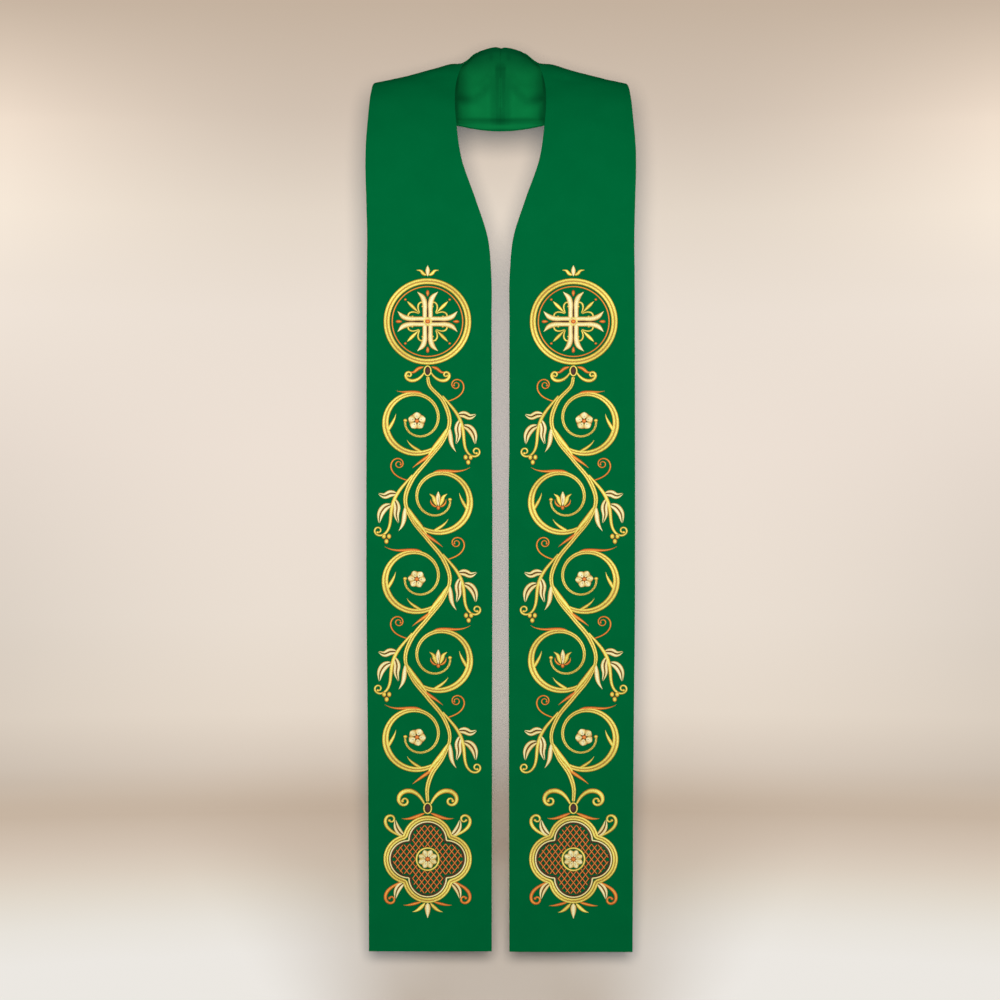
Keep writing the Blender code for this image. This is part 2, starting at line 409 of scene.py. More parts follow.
        # the seam: its allowance shows through as a thin ridge in a trough
        place = LOFT.at(u, np.clip(w / width, 0, 1)) / MM
        x, z = place[..., 0], place[..., 2]
        span = smooth(-60, -40, z) * (1 - smooth(-12, -6, z))
        h = h - span * 0.55 * MM * bump(x, 0.0, 1.5) * free
        trough = smooth(-66, -58, z) * (1 - smooth(0, 12, z))
        h = h + trough * 0.5 * MM * bump(x, 4.6, 1.6) * free
        # a pucker across the seam
        h = h + 0.55 * MM * bump(z, 1.2, 2.0) * (1 - smooth(5, 12, x))
        h = h + 0.2 * MM * self.edge(w, u * 0.4) * self.seam_pull(u) * free
        return h


RELIEF = {1: Relief(1), -1: Relief(-1)}


def on_face(side, u, w, lift=0.0):
    """A point this far above the outside of the face panel, and the normal."""
    width = LOFT.width(u)
    t = np.clip(w / width, 0, 1)
    n = LOFT.normal(u, t)
    height = FACE_T / 2 + RELIEF[side].face(u, w, width) + lift
    p = LOFT.at(u, t) + RELIEF[side].fit(u, w, width) + n * height[..., None]
    flip = np.array([side, 1.0, 1.0])
    return p * flip, n * flip


# ------------------------------------------------------------------ shells
def ring_places():
    """Rings close together behind the neck and over the shoulder, and wider
    apart down the fronts. A few more round off both ends."""
    r = FACE_T / 2
    ends = [0.0, 0.1 * r, 0.35 * r, 0.7 * r, 1.2 * r, 2.0 * r]
    places = list(ends)
    u = ends[-1]
    while u < HALF - 12 * MM:
        step = 1.7 * MM if u < 0.13 else 2.6 * MM if u < 0.32 else 4.6 * MM
        u += step
        places.append(u)
    tail = [HALF - d * MM for d in (9, 7, 6, 5.6, 5.2, 4.8, 4.4, 3.4, 2.2)]
    places = [p for p in places if p < HALF - 10.5 * MM] + tail
    places += [HALF - e for e in reversed(ends[:-1])]
    return np.array(places)


def column_places():
    """Distances from an edge, in metres, of the close columns by the edges."""
    near = [0.0, 0.25, 0.8, 1.6, 2.6, 4.0, 5.6, 6.6, 7.0, 7.4, 7.8, 8.3, 9.4, 11.4]
    far = [13.6, 16.4]
    return [d * MM for d in near + far]


def width_columns(width, thickness, inset):
    """Where the columns lie across a ring of this width: close by the edges,
    even in between. Starts a wall's half thickness in, where its rim ends."""
    start = inset + thickness / 2
    near = [start + d for d in column_places()]
    gap = 16.4 * MM + start
    inner_count = 34
    middle = [
        gap + (width - 2 * gap) * (i + 1) / (inner_count + 1) for i in range(inner_count)
    ]
    far = [width - d for d in reversed(near)]
    return near + middle + far


def cloth_wall(name, side, rings, thickness, inset, depth, relief):
    """A closed thin shell with rounded rims. depth is how far its middle lies
    under the loft, and inset how far its edges stop inside the loft's."""
    r = thickness / 2
    widths = LOFT.width(rings)
    end_in = inset  # the lining's hem stops short by the same inset
    top_u = rings.copy()
    if inset > 0:
        top_u = rings * (HALF - end_in) / HALF
        widths = LOFT.width(top_u)
    columns = np.array([width_columns(w, thickness, inset) for w in widths])
    count = columns.shape[1]
    arc = [PI * (k + 1) / 6 for k in range(5)]
    last = HALF - end_in if inset > 0 else HALF
    d_end = np.minimum(top_u, last - top_u)
    d_end = np.clip(d_end, 0, r)
    squeeze = np.sqrt(np.clip(1 - ((r - d_end) / r) ** 2, 0.04, 1))
    # one closed loop a ring: outside, arm rim, inside, neck rim
    w_parts = [columns]
    h_parts = [np.full(columns.shape, r)]
    arm_w = np.stack([widths - inset - r + r * math.sin(a) for a in arc], 1)
    arm_h = np.stack([np.full(len(widths), r * math.cos(a)) for a in arc], 1)
    neck_w = np.stack([inset + r - r * math.sin(a) + 0 * widths for a in arc], 1)
    neck_h = np.stack([np.full(len(widths), -r * math.cos(a)) for a in arc], 1)
    w_parts += [arm_w, columns[:, ::-1], neck_w]
    h_parts += [arm_h, np.full(columns.shape, -r), neck_h]
    w = np.concatenate(w_parts, 1)
    h = np.concatenate(h_parts, 1) * squeeze[:, None]
    u = np.broadcast_to(top_u[:, None], w.shape)
    t = np.clip(w / widths[:, None], 0, 1)
    base = LOFT.at(u, t)
    base = base + RELIEF[side].fit(u, w, widths[:, None])
    n = LOFT.normal(u, t)
    lift = relief(u, w, np.broadcast_to(widths[:, None], w.shape))
    p = base + n * (h - depth + lift)[..., None]
    p[..., 0] = np.maximum(p[..., 0], 0.0)
    p[..., 0] *= side
    rows, loop = w.shape
    verts = p.reshape(-1, 3)
    idx = np.arange(rows * loop).reshape(rows, loop)
    a, b = idx[:-1], idx[1:]
    quads = np.stack([a, b, np.roll(b, -1, 1), np.roll(a, -1, 1)], -1).reshape(-1, 4)
    faces = quads.tolist()
    # the two ends: strips between outside and inside, and the rims' fans
    inside = list(range(count + 5, 2 * count + 5))[::-1]
    for row, flip in ((0, False), (rows - 1, True)):
        cap = []
        for j in range(count - 1):
            cap.append(
                [
                    idx[row, j],
                    idx[row, j + 1],
                    idx[row, inside[j + 1]],
                    idx[row, inside[j]],
                ]
            )
        cap.append([idx[row, k] for k in range(count - 1, count + 6)])
        cap.append([idx[row, k % loop] for k in range(2 * count + 4, loop + 1)])
        faces += [c[::-1] if flip else c for c in cap]
    faces = [[int(i) for i in f] for f in faces]
    if side < 0:
        faces = [f[::-1] for f in faces]
    mesh = bpy.data.meshes.new(name)
    mesh.from_pydata(verts.tolist(), [], faces)
    mesh.validate()
    # weave coordinates in metres, straight with the grain
    layer = mesh.uv_layers.new(name="weave")
    flat = np.stack([w.ravel() - np.repeat(widths / 2, loop), u.ravel()], 1)
    corner = np.empty(len(mesh.loops), np.int32)
    mesh.loops.foreach_get("vertex_index", corner)
    layer.uv.foreach_set("vector", flat[corner].astype(np.float32).ravel())
    # painted shade: how much darker the cloth's colour is painted where it lies deep behind the neck
    layer = mesh.attributes.new("painted_shade", "FLOAT", "POINT")
    if inset > 0:
        shade_amount = RELIEF[side].painted_shade(u, w, widths[:, None])
    else:
        # on the face, painted shade along its turned edge inside behind the neck, none outside
        shade_amount = (1 - smooth(3.2 * MM, 5 * MM, w)) * (1 - smooth(0.045, 0.075, u))
        shade_amount[:, :count] = 0.0
    layer.data.foreach_set("value", shade_amount.astype(np.float32).ravel())
    mesh.shade_smooth()
    obj = bpy.data.objects.new(name, mesh)
    bpy.context.scene.collection.objects.link(obj)
    return obj


# ------------------------------------------------------------------ materials
def linear(r, g, b):
    def one(c):
        c = c / 255
        return c / 12.92 if c <= 0.04045 else ((c + 0.055) / 1.055) ** 2.4

    return (one(r), one(g), one(b), 1.0)


class Nodes:
    """A small helper for a material's node tree."""

    def __init__(self, name):
        self.material = bpy.data.materials.new(name)
        self.material.use_nodes = True
        self.tree = self.material.node_tree
        self.shader = self.tree.nodes["Principled BSDF"]

    def new(self, kind, **values):
        node = self.tree.nodes.new(kind)
        for key, value in values.items():
            setattr(node, key, value)
        return node

    def link(self, out, socket):
        self.tree.links.new(out, socket)

    def put(self, socket, value):
        if hasattr(value, "is_linked"):
            self.link(value, socket)
        else:
            socket.default_value = value

    def math(self, operation, a, b=None, c=None, clamp=False):
        node = self.new("ShaderNodeMath", operation=operation, use_clamp=clamp)
        for socket, value in zip(node.inputs, (a, b, c)):
            if value is not None:
                self.put(socket, value)
        return node.outputs[0]

    def mix(self, share, a, b, blend="MIX"):
        node = self.new("ShaderNodeMix", data_type="RGBA", blend_type=blend)
        self.put(node.inputs[0], share)
        self.put(node.inputs[6], a)
        self.put(node.inputs[7], b)
        return node.outputs[2]

    def noise(self, vector, scale, detail=2.0, roughness=0.5):
        node = self.new("ShaderNodeTexNoise")
        if vector is not None:
            self.link(vector, node.inputs["Vector"])
        node.inputs["Scale"].default_value = scale
        node.inputs["Detail"].default_value = detail
        node.inputs["Roughness"].default_value = roughness
        return node.outputs[0]

    def ramp(self, value, stops):
        node = self.new("ShaderNodeValToRGB")
        self.put(node.inputs[0], value)
        ramp = node.color_ramp
        while len(ramp.elements) < len(stops):
            ramp.elements.new(0.5)
        for element, (place, colour) in zip(ramp.elements, stops):
            element.position = place
            element.color = colour
        return node.outputs[0]

    def bump(self, height, distance, strength=1.0, normal=None):
        node = self.new("ShaderNodeBump")
        node.inputs["Strength"].default_value = strength
        node.inputs["Distance"].default_value = distance
        self.put(node.inputs["Height"], height)
        if normal is not None:
            self.link(normal, node.inputs["Normal"])
        return node.outputs[0]


def face_material():
    """A fine matt gabardine: steep twill lines, slightly uneven dye."""
    m = Nodes("face_gabardine")
    uv = m.new("ShaderNodeUVMap", uv_map="weave").outputs[0]
    split = m.new("ShaderNodeSeparateXYZ")
    m.link(uv, split.inputs[0])
    x, y = split.outputs[0], split.outputs[1]
    # twill wales rise at about 63 degrees, 0.62 mm apart
    k = 2 * PI / (0.62 * MM)
    phase = m.math("ADD", m.math("MULTIPLY", x, k * 0.89), m.math("MULTIPLY", y, -k * 0.45))
    wobble = m.noise(uv, 900.0, 1.0)
    phase = m.math("ADD", phase, m.math("MULTIPLY", wobble, 2.2))
    wale = m.math("SINE", phase)
    # picks cross the wales
    pick = m.math("SINE", m.math("MULTIPLY", y, 2 * PI / (0.42 * MM)))
    weave = m.math("ADD", wale, m.math("MULTIPLY", pick, 0.3))
    mottle = m.noise(uv, 26.0, 3.0, 0.55)
    fibre = m.noise(uv, 3200.0, 2.0, 0.6)
    shade = m.math("ADD", m.math("MULTIPLY", mottle, 0.7), m.math("MULTIPLY", fibre, 0.3))
    base = m.ramp(
        shade,
        [
            (0.3, linear(0, 101, 53)),
            (0.5, linear(0, 103, 54)),
            (0.7, linear(1, 105, 56)),
        ],
    )
    # painted shade: the twill's valleys are painted darker
    valley = m.math("MULTIPLY_ADD", wale, -0.5, 0.5)
    colour = m.mix(m.math("MULTIPLY", valley, 0.16), base, linear(0, 78, 42))
    # painted shade: darker where its turned edge lies inside behind the neck
    painted_shade = attribute(m, "painted_shade")
    colour = m.mix(m.math("MULTIPLY", painted_shade, 0.62, clamp=True), colour, linear(0, 48, 25))
    m.link(colour, m.shader.inputs["Base Color"])
    rough = m.math("MULTIPLY_ADD", fibre, 0.14, 0.78)
    m.link(rough, m.shader.inputs["Roughness"])
    m.shader.inputs["IOR"].default_value = 1.12
    m.shader.inputs["Specular IOR Level"].default_value = 0.012
    m.shader.inputs["Sheen Weight"].default_value = 0.02
    m.shader.inputs["Sheen Roughness"].default_value = 0.5
    m.shader.inputs["Sheen Tint"].default_value = linear(0, 150, 80)
    relief = m.math("ADD", m.math("MULTIPLY", weave, 0.5), m.math("MULTIPLY", fibre, 0.5))
    m.link(m.bump(relief, 0.05 * MM, 0.6), m.shader.inputs["Normal"])
    return m.material


def lining_material():
    """A light polyester satin: smooth, a low sheen, faint long floats."""
    m = Nodes("lining_satin")
    uv = m.new("ShaderNodeUVMap", uv_map="weave").outputs[0]
    split = m.new("ShaderNodeSeparateXYZ")
    m.link(uv, split.inputs[0])
    x = split.outputs[0]
    stretched = m.new("ShaderNodeMapping")
    m.link(uv, stretched.inputs["Vector"])
    stretched.inputs["Scale"].default_value = (1.0, 0.12, 1.0)
    floats = m.noise(stretched.outputs[0], 2600.0, 2.0, 0.6)
    mottle = m.noise(uv, 30.0, 2.0)
    base = m.ramp(
        m.math("ADD", m.math("MULTIPLY", mottle, 0.55), m.math("MULTIPLY", floats, 0.45)),
        [
            (0.3, linear(9, 120, 63)),
            (0.5, linear(11, 123, 65)),
            (0.7, linear(13, 126, 67)),
        ],
    )
    # painted shade: the satin is painted darker where it lies deep in the bowl behind the neck, in its folds and at
    # its sides
    painted_shade = attribute(m, "painted_shade")
    base = m.mix(m.math("MULTIPLY", painted_shade, 0.8, clamp=True), base, linear(0, 50, 26))
    m.link(base, m.shader.inputs["Base Color"])
    rough = m.math("MULTIPLY_ADD", floats, 0.12, 0.5)
    m.link(rough, m.shader.inputs["Roughness"])
    m.shader.inputs["IOR"].default_value = 1.12
    m.shader.inputs["Specular IOR Level"].default_value = 0.012
    m.shader.inputs["Sheen Weight"].default_value = 0.02
    m.shader.inputs["Sheen Tint"].default_value = linear(20, 190, 100)
    fine = m.math("SINE", m.math("MULTIPLY", x, 2 * PI / (0.3 * MM)))
    relief = m.math("ADD", m.math("MULTIPLY", fine, 0.3), m.math("MULTIPLY", floats, 0.7))
    m.link(m.bump(relief, 0.03 * MM, 0.5), m.shader.inputs["Normal"])
    return m.material


def attribute(m, name):
    return m.new("ShaderNodeAttribute", attribute_name=name).outputs["Fac"]


def thread_material(name, painted_lit, shade, metal, rough, valley):
    """Satin stitch in shining thread. The first ramp is a painted lit copy and the second a painted shaded copy of
    the thread's colours across a band, from a painted highlight on its crest to painted shade at its edge; the light
    attribute mixes them as a painted sheen."""
    m = Nodes(name)
    rim, light = attribute(m, "rim"), attribute(m, "light")
    twin, seed = attribute(m, "twin"), attribute(m, "strand")
    uv = m.new("ShaderNodeUVMap", uv_map="stitch").outputs[0]
    split = m.new("ShaderNodeSeparateXYZ")
    m.link(uv, split.inputs[0])
    s, v = split.outputs[0], split.outputs[1]
    size = m.math("ABSOLUTE", v)
    # each thread's own tone: noise drawn out along the threads' slant; the coarser one also shifts the painted sheen
    slant = m.math("ADD", s, m.math("MULTIPLY", size, 0.45))
    own = m.new("ShaderNodeCombineXYZ")
    m.link(m.math("ADD", slant, m.math("MULTIPLY", seed, 3.0)), own.inputs[0])
    m.link(m.math("MULTIPLY", v, 0.12), own.inputs[1])
    strand = m.noise(own.outputs[0], 2300.0, 2.0, 0.6)
    group = m.noise(own.outputs[0], 420.0, 1.0, 0.5)
    # painted shade: a dark zigzag in the groove where the two rows of a wide band meet
    tooth = m.math("PINGPONG", s, 2.6 * MM)
    tooth = m.math("MULTIPLY", m.math("SUBTRACT", tooth, 1.3 * MM), 0.5)
    off = m.math("ABSOLUTE", m.math("ADD", v, tooth))
    gap = m.math("SUBTRACT", 1.15, m.math("DIVIDE", off, 0.5 * MM), clamp=True)
    gap = m.math("MULTIPLY", gap, twin)
    top = m.ramp(rim, painted_lit)
    low = m.ramp(rim, shade)
    # how much of the painted lit colour shows: the painted sheen, shifted by the coarse noise
    share = m.math("ADD", light, m.math("MULTIPLY", m.math("SUBTRACT", group, 0.5), 0.7), clamp=True)
    colour = m.mix(share, low, top)
    # between the two rows the colour is the thread's own, not the edge's
    inner = m.math("SUBTRACT", 1.0, m.math("DIVIDE", size, 1.2 * MM), clamp=True)
    colour = m.mix(m.math("MULTIPLY", m.math("MULTIPLY", inner, twin), 0.4), colour, valley[0])
    colour = m.mix(m.math("MULTIPLY", gap, 0.8), colour, valley[1])
    # painted light and shade in stripes along the rope-like turn of the stitches, and each thread's own tone
    turn = m.math("SINE", m.math("MULTIPLY", slant, 2 * PI / (2.3 * MM)))
    streak = m.math("MULTIPLY_ADD", strand, 0.5, 0.76)
    streak = m.math("MULTIPLY_ADD", turn, 0.07, streak)
    grey = m.new("ShaderNodeCombineColor")
    for socket in grey.inputs[:3]:
        m.link(streak, socket)
    colour = m.mix(1.0, colour, grey.outputs[0], "MULTIPLY")
    m.link(colour, m.shader.inputs["Base Color"])
    m.shader.inputs["Metallic"].default_value = metal
    m.link(m.math("MULTIPLY_ADD", strand, 0.16, rough - 0.08), m.shader.inputs["Roughness"])
    m.shader.inputs["Specular IOR Level"].default_value = 0.35
    line = m.math("SINE", m.math("MULTIPLY", slant, 2 * PI / (0.38 * MM)))
    relief = m.math("ADD", m.math("MULTIPLY", line, 0.5), m.math("MULTIPLY", strand, 0.9))
    m.link(m.bump(relief, 0.06 * MM, 0.7), m.shader.inputs["Normal"])
    return m.material


# each thread: painted lit and painted shaded colours from crest to edge, its metal and roughness, then its colour
# between a wide band's rows and the painted shade in their groove
THREADS = {
    "gold": thread_material(
        "gold_thread",
        [(0.0, linear(255, 250, 148)), (0.35, linear(255, 238, 98)), (0.68, linear(244, 208, 66)), (0.88, linear(216, 144, 54)), (1.0, linear(158, 80, 36))],
        [(0.0, linear(236, 214, 88)), (0.4, linear(208, 178, 56)), (0.7, linear(178, 140, 40)), (0.9, linear(154, 90, 34)), (1.0, linear(114, 54, 24))],
        0.1, 0.42, (linear(226, 192, 70), linear(136, 82, 24)),
    ),
    "pale": thread_material(
        "pale_thread",
        [(0.0, linear(255, 252, 212)), (0.4, linear(253, 240, 172)), (0.72, linear(240, 212, 122)), (0.9, linear(222, 156, 92)), (1.0, linear(160, 84, 46))],
        [(0.0, linear(246, 230, 160)), (0.4, linear(230, 205, 120)), (0.72, linear(205, 166, 82)), (0.9, linear(190, 120, 62)), (1.0, linear(130, 64, 34))],
        0.05, 0.42, (linear(220, 190, 110), linear(120, 92, 36)),
    ),
    "amber": thread_material(
        "amber_thread",
        [(0.0, linear(255, 186, 70)), (0.4, linear(246, 148, 38)), (0.75, linear(228, 108, 28)), (1.0, linear(150, 54, 20))],
        [(0.0, linear(232, 142, 46)), (0.4, linear(214, 108, 30)), (0.75, linear(188, 82, 24)), (1.0, linear(116, 40, 16))],
        0.06, 0.45, (linear(190, 92, 28), linear(110, 46, 16)),
    ),
    "dark": thread_material(
        "dark_thread",
        [(0.0, linear(112, 60, 30)), (0.5, linear(88, 40, 22)), (1.0, linear(60, 20, 14))],
        [(0.0, linear(34, 18, 12)), (0.5, linear(22, 10, 8)), (0.85, linear(40, 8, 8)), (1.0, linear(60, 8, 8))],
        0.0, 0.55, (linear(20, 12, 8), linear(12, 6, 4)),
    ),
}


# ------------------------------------------------------------------ needlework
# Drawn flat, in millimetres: x from the ornament's middle line towards the arm
# edge, y down from its top. Both fronts carry it, mirrored.
ZONE_X = 96.8  # the middle line, from the object's middle
ZONE_Z = -286.0  # the ornament's top


def on_front(x, y):
    """The panel's own coordinates u and w, in metres, of a drawn point."""
    u = LOFT.u_at_height((ZONE_Z - y) * MM)
    value, _ = LOFT.section(u)
    share = ((ZONE_X + x) * MM - value[..., 0]) / (value[..., 3] - value[..., 0])
    return u, share * LOFT.width(u)


def through(*points, closed=False, every=0.35):
    """A smooth line through these points (centripetal Catmull-Rom)."""
    p = np.array(points, float)
    if closed:
        p = np.vstack([p[-1], p, p[0], p[1]])
    else:
        p = np.vstack([2 * p[0] - p[1], p, 2 * p[-1] - p[-2]])
    out = []
    for i in range(1, len(p) - 2):
        a, b, c, d = p[i - 1 : i + 3]
        k = [0.0]
        for m, n in ((a, b), (b, c), (c, d)):
            k.append(k[-1] + max(np.linalg.norm(n - m), 1e-6) ** 0.5)
        count = max(int(np.linalg.norm(c - b) / every), 3)
        t = np.linspace(k[1], k[2], count, endpoint=False)[:, None]
        ab = (k[1] - t) / (k[1] - k[0]) * a + (t - k[0]) / (k[1] - k[0]) * b
        bc = (k[2] - t) / (k[2] - k[1]) * b + (t - k[1]) / (k[2] - k[1]) * c
        cd = (k[3] - t) / (k[3] - k[2]) * c + (t - k[2]) / (k[3] - k[2]) * d
        abc = (k[2] - t) / (k[2] - k[0]) * ab + (t - k[0]) / (k[2] - k[0]) * bc
        bcd = (k[3] - t) / (k[3] - k[1]) * bc + (t - k[1]) / (k[3] - k[1]) * cd
        out.append((k[2] - t) / (k[2] - k[1]) * abc + (t - k[1]) / (k[2] - k[1]) * bcd)
    if not closed:
        out.append(p[-2][None])
    return np.vstack(out)


def arc(cx, cy, r, a0, a1, r1=None, every=0.35):
    """A circle's arc, or a spiral's if r1 says another radius at its end."""
    r1 = r if r1 is None else r1
    count = max(int(abs(a1 - a0) * PI / 180 * max(r, r1) / every), 6)
    a = np.radians(np.linspace(a0, a1, count))
    rr = np.linspace(r, r1, count)
    return np.stack([cx + rr * np.cos(a), cy + rr * np.sin(a)], 1)


def whorl(cx, cy, stops, every=0.35):
    """A spiral through (angle, radius) stops."""
    angles = np.array([s[0] for s in stops], float)
    radii = np.array([s[1] for s in stops], float)
    count = int(np.abs(np.diff(angles)).sum() * PI / 180 * radii.max() / every)
    f = np.linspace(0, 1, count)
    share = np.abs(angles - angles[0]) / abs(angles[-1] - angles[0])
    a = np.radians(angles[0] + (angles[-1] - angles[0]) * f)
    rr = np.interp(f, share, radii)
    reach = max(count // (2 * len(stops)), 3)
    pad = np.concatenate(
        [2 * rr[0] - rr[reach:0:-1], rr, 2 * rr[-1] - rr[-2 : -reach - 2 : -1]]
    )
    rr = np.convolve(pad, np.ones(2 * reach + 1) / (2 * reach + 1), "valid")
    return np.stack([cx + rr * np.cos(a), cy + rr * np.sin(a)], 1)


def grown(x, y, heading, length, bends, every=0.3):
    """A line that grows from x, y: heading in degrees (0 to the right, 90
    down), and how fast it bends, in degrees a millimetre, evenly spaced."""
    count = max(int(length / every), 8)
    step = length / count
    rate = np.interp(np.linspace(0, 1, count), np.linspace(0, 1, len(bends)), bends)
    soft = max(count // 10, 1)
    pad = np.concatenate([np.full(soft, rate[0]), rate, np.full(soft, rate[-1])])
    rate = np.convolve(pad, np.ones(2 * soft + 1) / (2 * soft + 1), "valid")
    a = np.radians(heading + np.cumsum(rate) * step)
    px = x + np.concatenate([[0], np.cumsum(np.cos(a)) * step])
    py = y + np.concatenate([[0], np.cumsum(np.sin(a)) * step])
    return np.stack([px, py], 1)


def softened(path, reach):
    """A closed line with its corners rounded over about this reach."""
    p = np.array(path, float)
    p = np.vstack([p, p[:1]])
    run = np.concatenate([[0], np.cumsum(np.hypot(*np.diff(p, axis=0).T))])
    count = int(run[-1] / 0.3)
    s = np.linspace(0, run[-1], count, endpoint=False)
    even = np.stack([np.interp(s, run, p[:, 0]), np.interp(s, run, p[:, 1])], 1)
    n = max(int(reach / 0.3), 1)
    kernel = np.hanning(2 * n + 3)[1:-1]
    kernel /= kernel.sum()
    wide = np.vstack([even[-n:], even, even[:n]])
    return np.stack([np.convolve(wide[:, i], kernel, "valid") for i in (0, 1)], 1)


def turned(path, angle, cx=0.0, cy=0.0, size=1.0, flip=False):
    """A path drawn about 0, 0, set at a place: mirrored, scaled and turned."""
    p = np.array(path, float) * size
    if flip:
        p = p * (-1, 1)
    a = math.radians(angle)
    c, s = math.cos(a), math.sin(a)
    return np.stack([cx + p[:, 0] * c - p[:, 1] * s, cy + p[:, 0] * s + p[:, 1] * c], 1)


def eased(values, f):
    """A smooth run through evenly spaced values."""
    v = np.atleast_1d(np.array(values, float))
    if len(v) == 1:
        return np.full(len(f), v[0])
    v = np.concatenate([[2 * v[0] - v[1]], v, [2 * v[-1] - v[-2]]])
    x = f * (len(v) - 3)
    i = np.clip(x.astype(int), 0, len(v) - 4)
    t = x - i
    a, b, c, d = v[i], v[i + 1], v[i + 2], v[i + 3]
    out = 0.5 * (
        2 * b + (c - a) * t + (2 * a - 5 * b + 4 * c - d) * t**2
        + (3 * b - a - 3 * c + d) * t**3
    )
    return np.maximum(out, np.minimum(b, c) * 0.6)


ACROSS = {
    "twin": np.array([-1, -0.86, -0.55, -0.24, 0, 0.24, 0.55, 0.86, 1]),
    "satin": np.array([-1, -0.8, -0.42, 0, 0.42, 0.8, 1]),
    "fine": np.array([-1, -0.6, 0, 0.6, 1]),
}


def crest(kind, v):
    """0 on a band's crest and 1 at its edges, and its height there."""
    a = np.abs(v)
    if kind == "twin":
        q = np.where(a > 0.55, (a - 0.55) / 0.45, (0.55 - a) / 0.55)
        high = np.where(a > 0.55, (1 - q**2.3) ** 0.62, 1 - 0.24 * q**1.6)
        return q, high
    return a, np.clip(1 - a**2.3, 0, 1) ** 0.62


class Thread:
    """All the satin stitch worked in one thread on one front."""

    def __init__(self, name, seed):
        self.name = name
        self.rnd = random.Random(seed)
        self.bands = []

    def band(
        self, path, width, high=0.75, kind="satin", step=0.66, base=0.0,
        closed=False, ends=(1, 1), painted_sheen=0.0, swing=1.0,
    ):
        """One band of satin stitch along a path. width is one number or an
        even run of them; ends are 1 for round and 0 for as the width says."""
        rnd = self.rnd
        run = np.concatenate([[0], np.cumsum(np.hypot(*np.diff(path, axis=0).T))])
        if closed:
            gap = np.hypot(*(path[0] - path[-1]))
            if gap > 1e-6:
                path = np.vstack([path, path[:1]])
                run = np.append(run, run[-1] + gap)
        length = run[-1]
        count = max(int(math.ceil(length / step)), 4)
        s = np.linspace(0, length, count + 1)
        p = np.stack([np.interp(s, run, path[:, 0]), np.interp(s, run, path[:, 1])], 1)
        if closed:
            s, p = s[:-1], p[:-1]
            t = np.roll(p, -1, 0) - np.roll(p, 1, 0)
        else:
            t = np.gradient(p, axis=0)
        t /= np.maximum(np.hypot(t[:, 0], t[:, 1]), 1e-9)[:, None]
        side = np.stack([-t[:, 1], t[:, 0]], 1)
        f = s / length
        half = eased(width, f) / 2
        top = float(half.max())
        cap = np.ones(len(s))
        if not closed:
            for flag, d, w in (
                (ends[0], s, half[min(3, len(half) - 1)]),
                (ends[1], length - s, half[max(-4, -len(half))]),
            ):
                if flag:
                    reach = min(max(w, 0.25) * flag, length * 0.5)
                    k = np.clip(d / reach, 0, 1)
                    cap = cap * np.sqrt(np.clip(1 - (1 - k) ** 2, 0.003, 1))
        half = np.maximum(half * cap, 0.05)
        half = half * (1 + np.array([rnd.uniform(-0.022, 0.022) for _ in s]))
        v = ACROSS[kind]
        q, dome = crest(kind, v)
        rise = high * (half / top) ** 0.6
        pitch = 2.5 if top > 1.5 else 1.9
        phase = rnd.uniform(0, 2 * PI)
        if closed:
            pitch = length / max(round(length / pitch), 1)
        lean = np.abs(v) if kind == "twin" else v
        rope = 1 + (0.09 if top > 1.5 else 0.13) * np.sin(
            2 * PI * (s[:, None] + lean[None, :] * half[:, None] * 0.9) / pitch + phase
        )
        z = 0.04 + base + rise[:, None] * dome[None, :] * rope
        z[:, 0] = z[:, -1] = 0.04
        xy = p[:, None, :] + side[:, None, :] * (v[None, :] * half[:, None])[..., None]
        # painted sheen: bands running one way are painted lighter, as silk shines by its direction; it drifts slowly
        # along a band, and each band shifts it by its own amount and a little at random
        way = np.arctan2(t[:, 1], t[:, 0])
        light = 0.5 + 0.3 * swing * np.cos(2 * (way - math.radians(58)))
        drift = rnd.uniform(0, 2 * PI)
        light = light + 0.07 * np.sin(s / 9.0 + drift) + painted_sheen + rnd.uniform(-0.06, 0.06)
        self.bands.append(
            dict(
                xy=xy, z=z, s=s, across=v[None, :] * half[:, None],
                rim=np.broadcast_to(q[None, :], z.shape),
                light=np.clip(light, 0, 1)[:, None] + 0 * z,
                twin=float(kind == "twin"), closed=closed, length=float(length),
                wide=2 * top, seedling=rnd.random(), pad=0.0,
            )
        )

    def pad(self, cx, cy, long, wide, angle=0.0, high=1.25, painted_sheen=0.0, tip=0.0):
        """A padded oval, or a drop if tip is above 0, its long axis at angle."""
        n = 15
        f = np.linspace(0, 1, n)
        f = 0.5 - 0.5 * np.cos(PI * f)
        x = (f - 0.5) * long
        half = 0.5 * wide * np.sqrt(np.clip(1 - (2 * f - 1) ** 2, 0.0004, 1))
        half = half * (1 - tip * f**1.4) / (1 - 0.3 * tip)
        v = np.array([-1, -0.82, -0.5, 0, 0.5, 0.82, 1])
        a = math.radians(angle)
        t = np.array([math.cos(a), math.sin(a)])
        side = np.array([-t[1], t[0]])
        p = np.array([cx, cy]) + x[:, None] * t
        xy = p[:, None, :] + side * (v[None, :] * half[:, None])[..., None]
        far = np.sqrt(np.clip(1 - (2 * f - 1) ** 2, 0.0004, 1))
        dome = np.clip(1 - np.abs(v) ** 2.2, 0, 1) ** 0.55
        z = 0.04 + high * far[:, None] ** 0.8 * dome[None, :]
        z[:, 0] = z[:, -1] = 0.04
        rim = np.sqrt(np.clip((v[None, :] * far[:, None]) ** 2 + (2 * f[:, None] - 1) ** 2, 0, 1))
        # painted highlight on one side of the pad and painted shade on the other
        light = 0.55 + painted_sheen - 0.28 * v[None, :] * math.copysign(1, side[0] + side[1] * 0.3)
        self.bands.append(
            dict(
                xy=xy, z=z, s=x + long / 2, across=v[None, :] * half[:, None],
                rim=rim, light=np.clip(light + 0 * z, 0, 1), twin=0.0, closed=False,
                length=long, wide=wide, seedling=self.rnd.random(), pad=1.0,
            )
        )

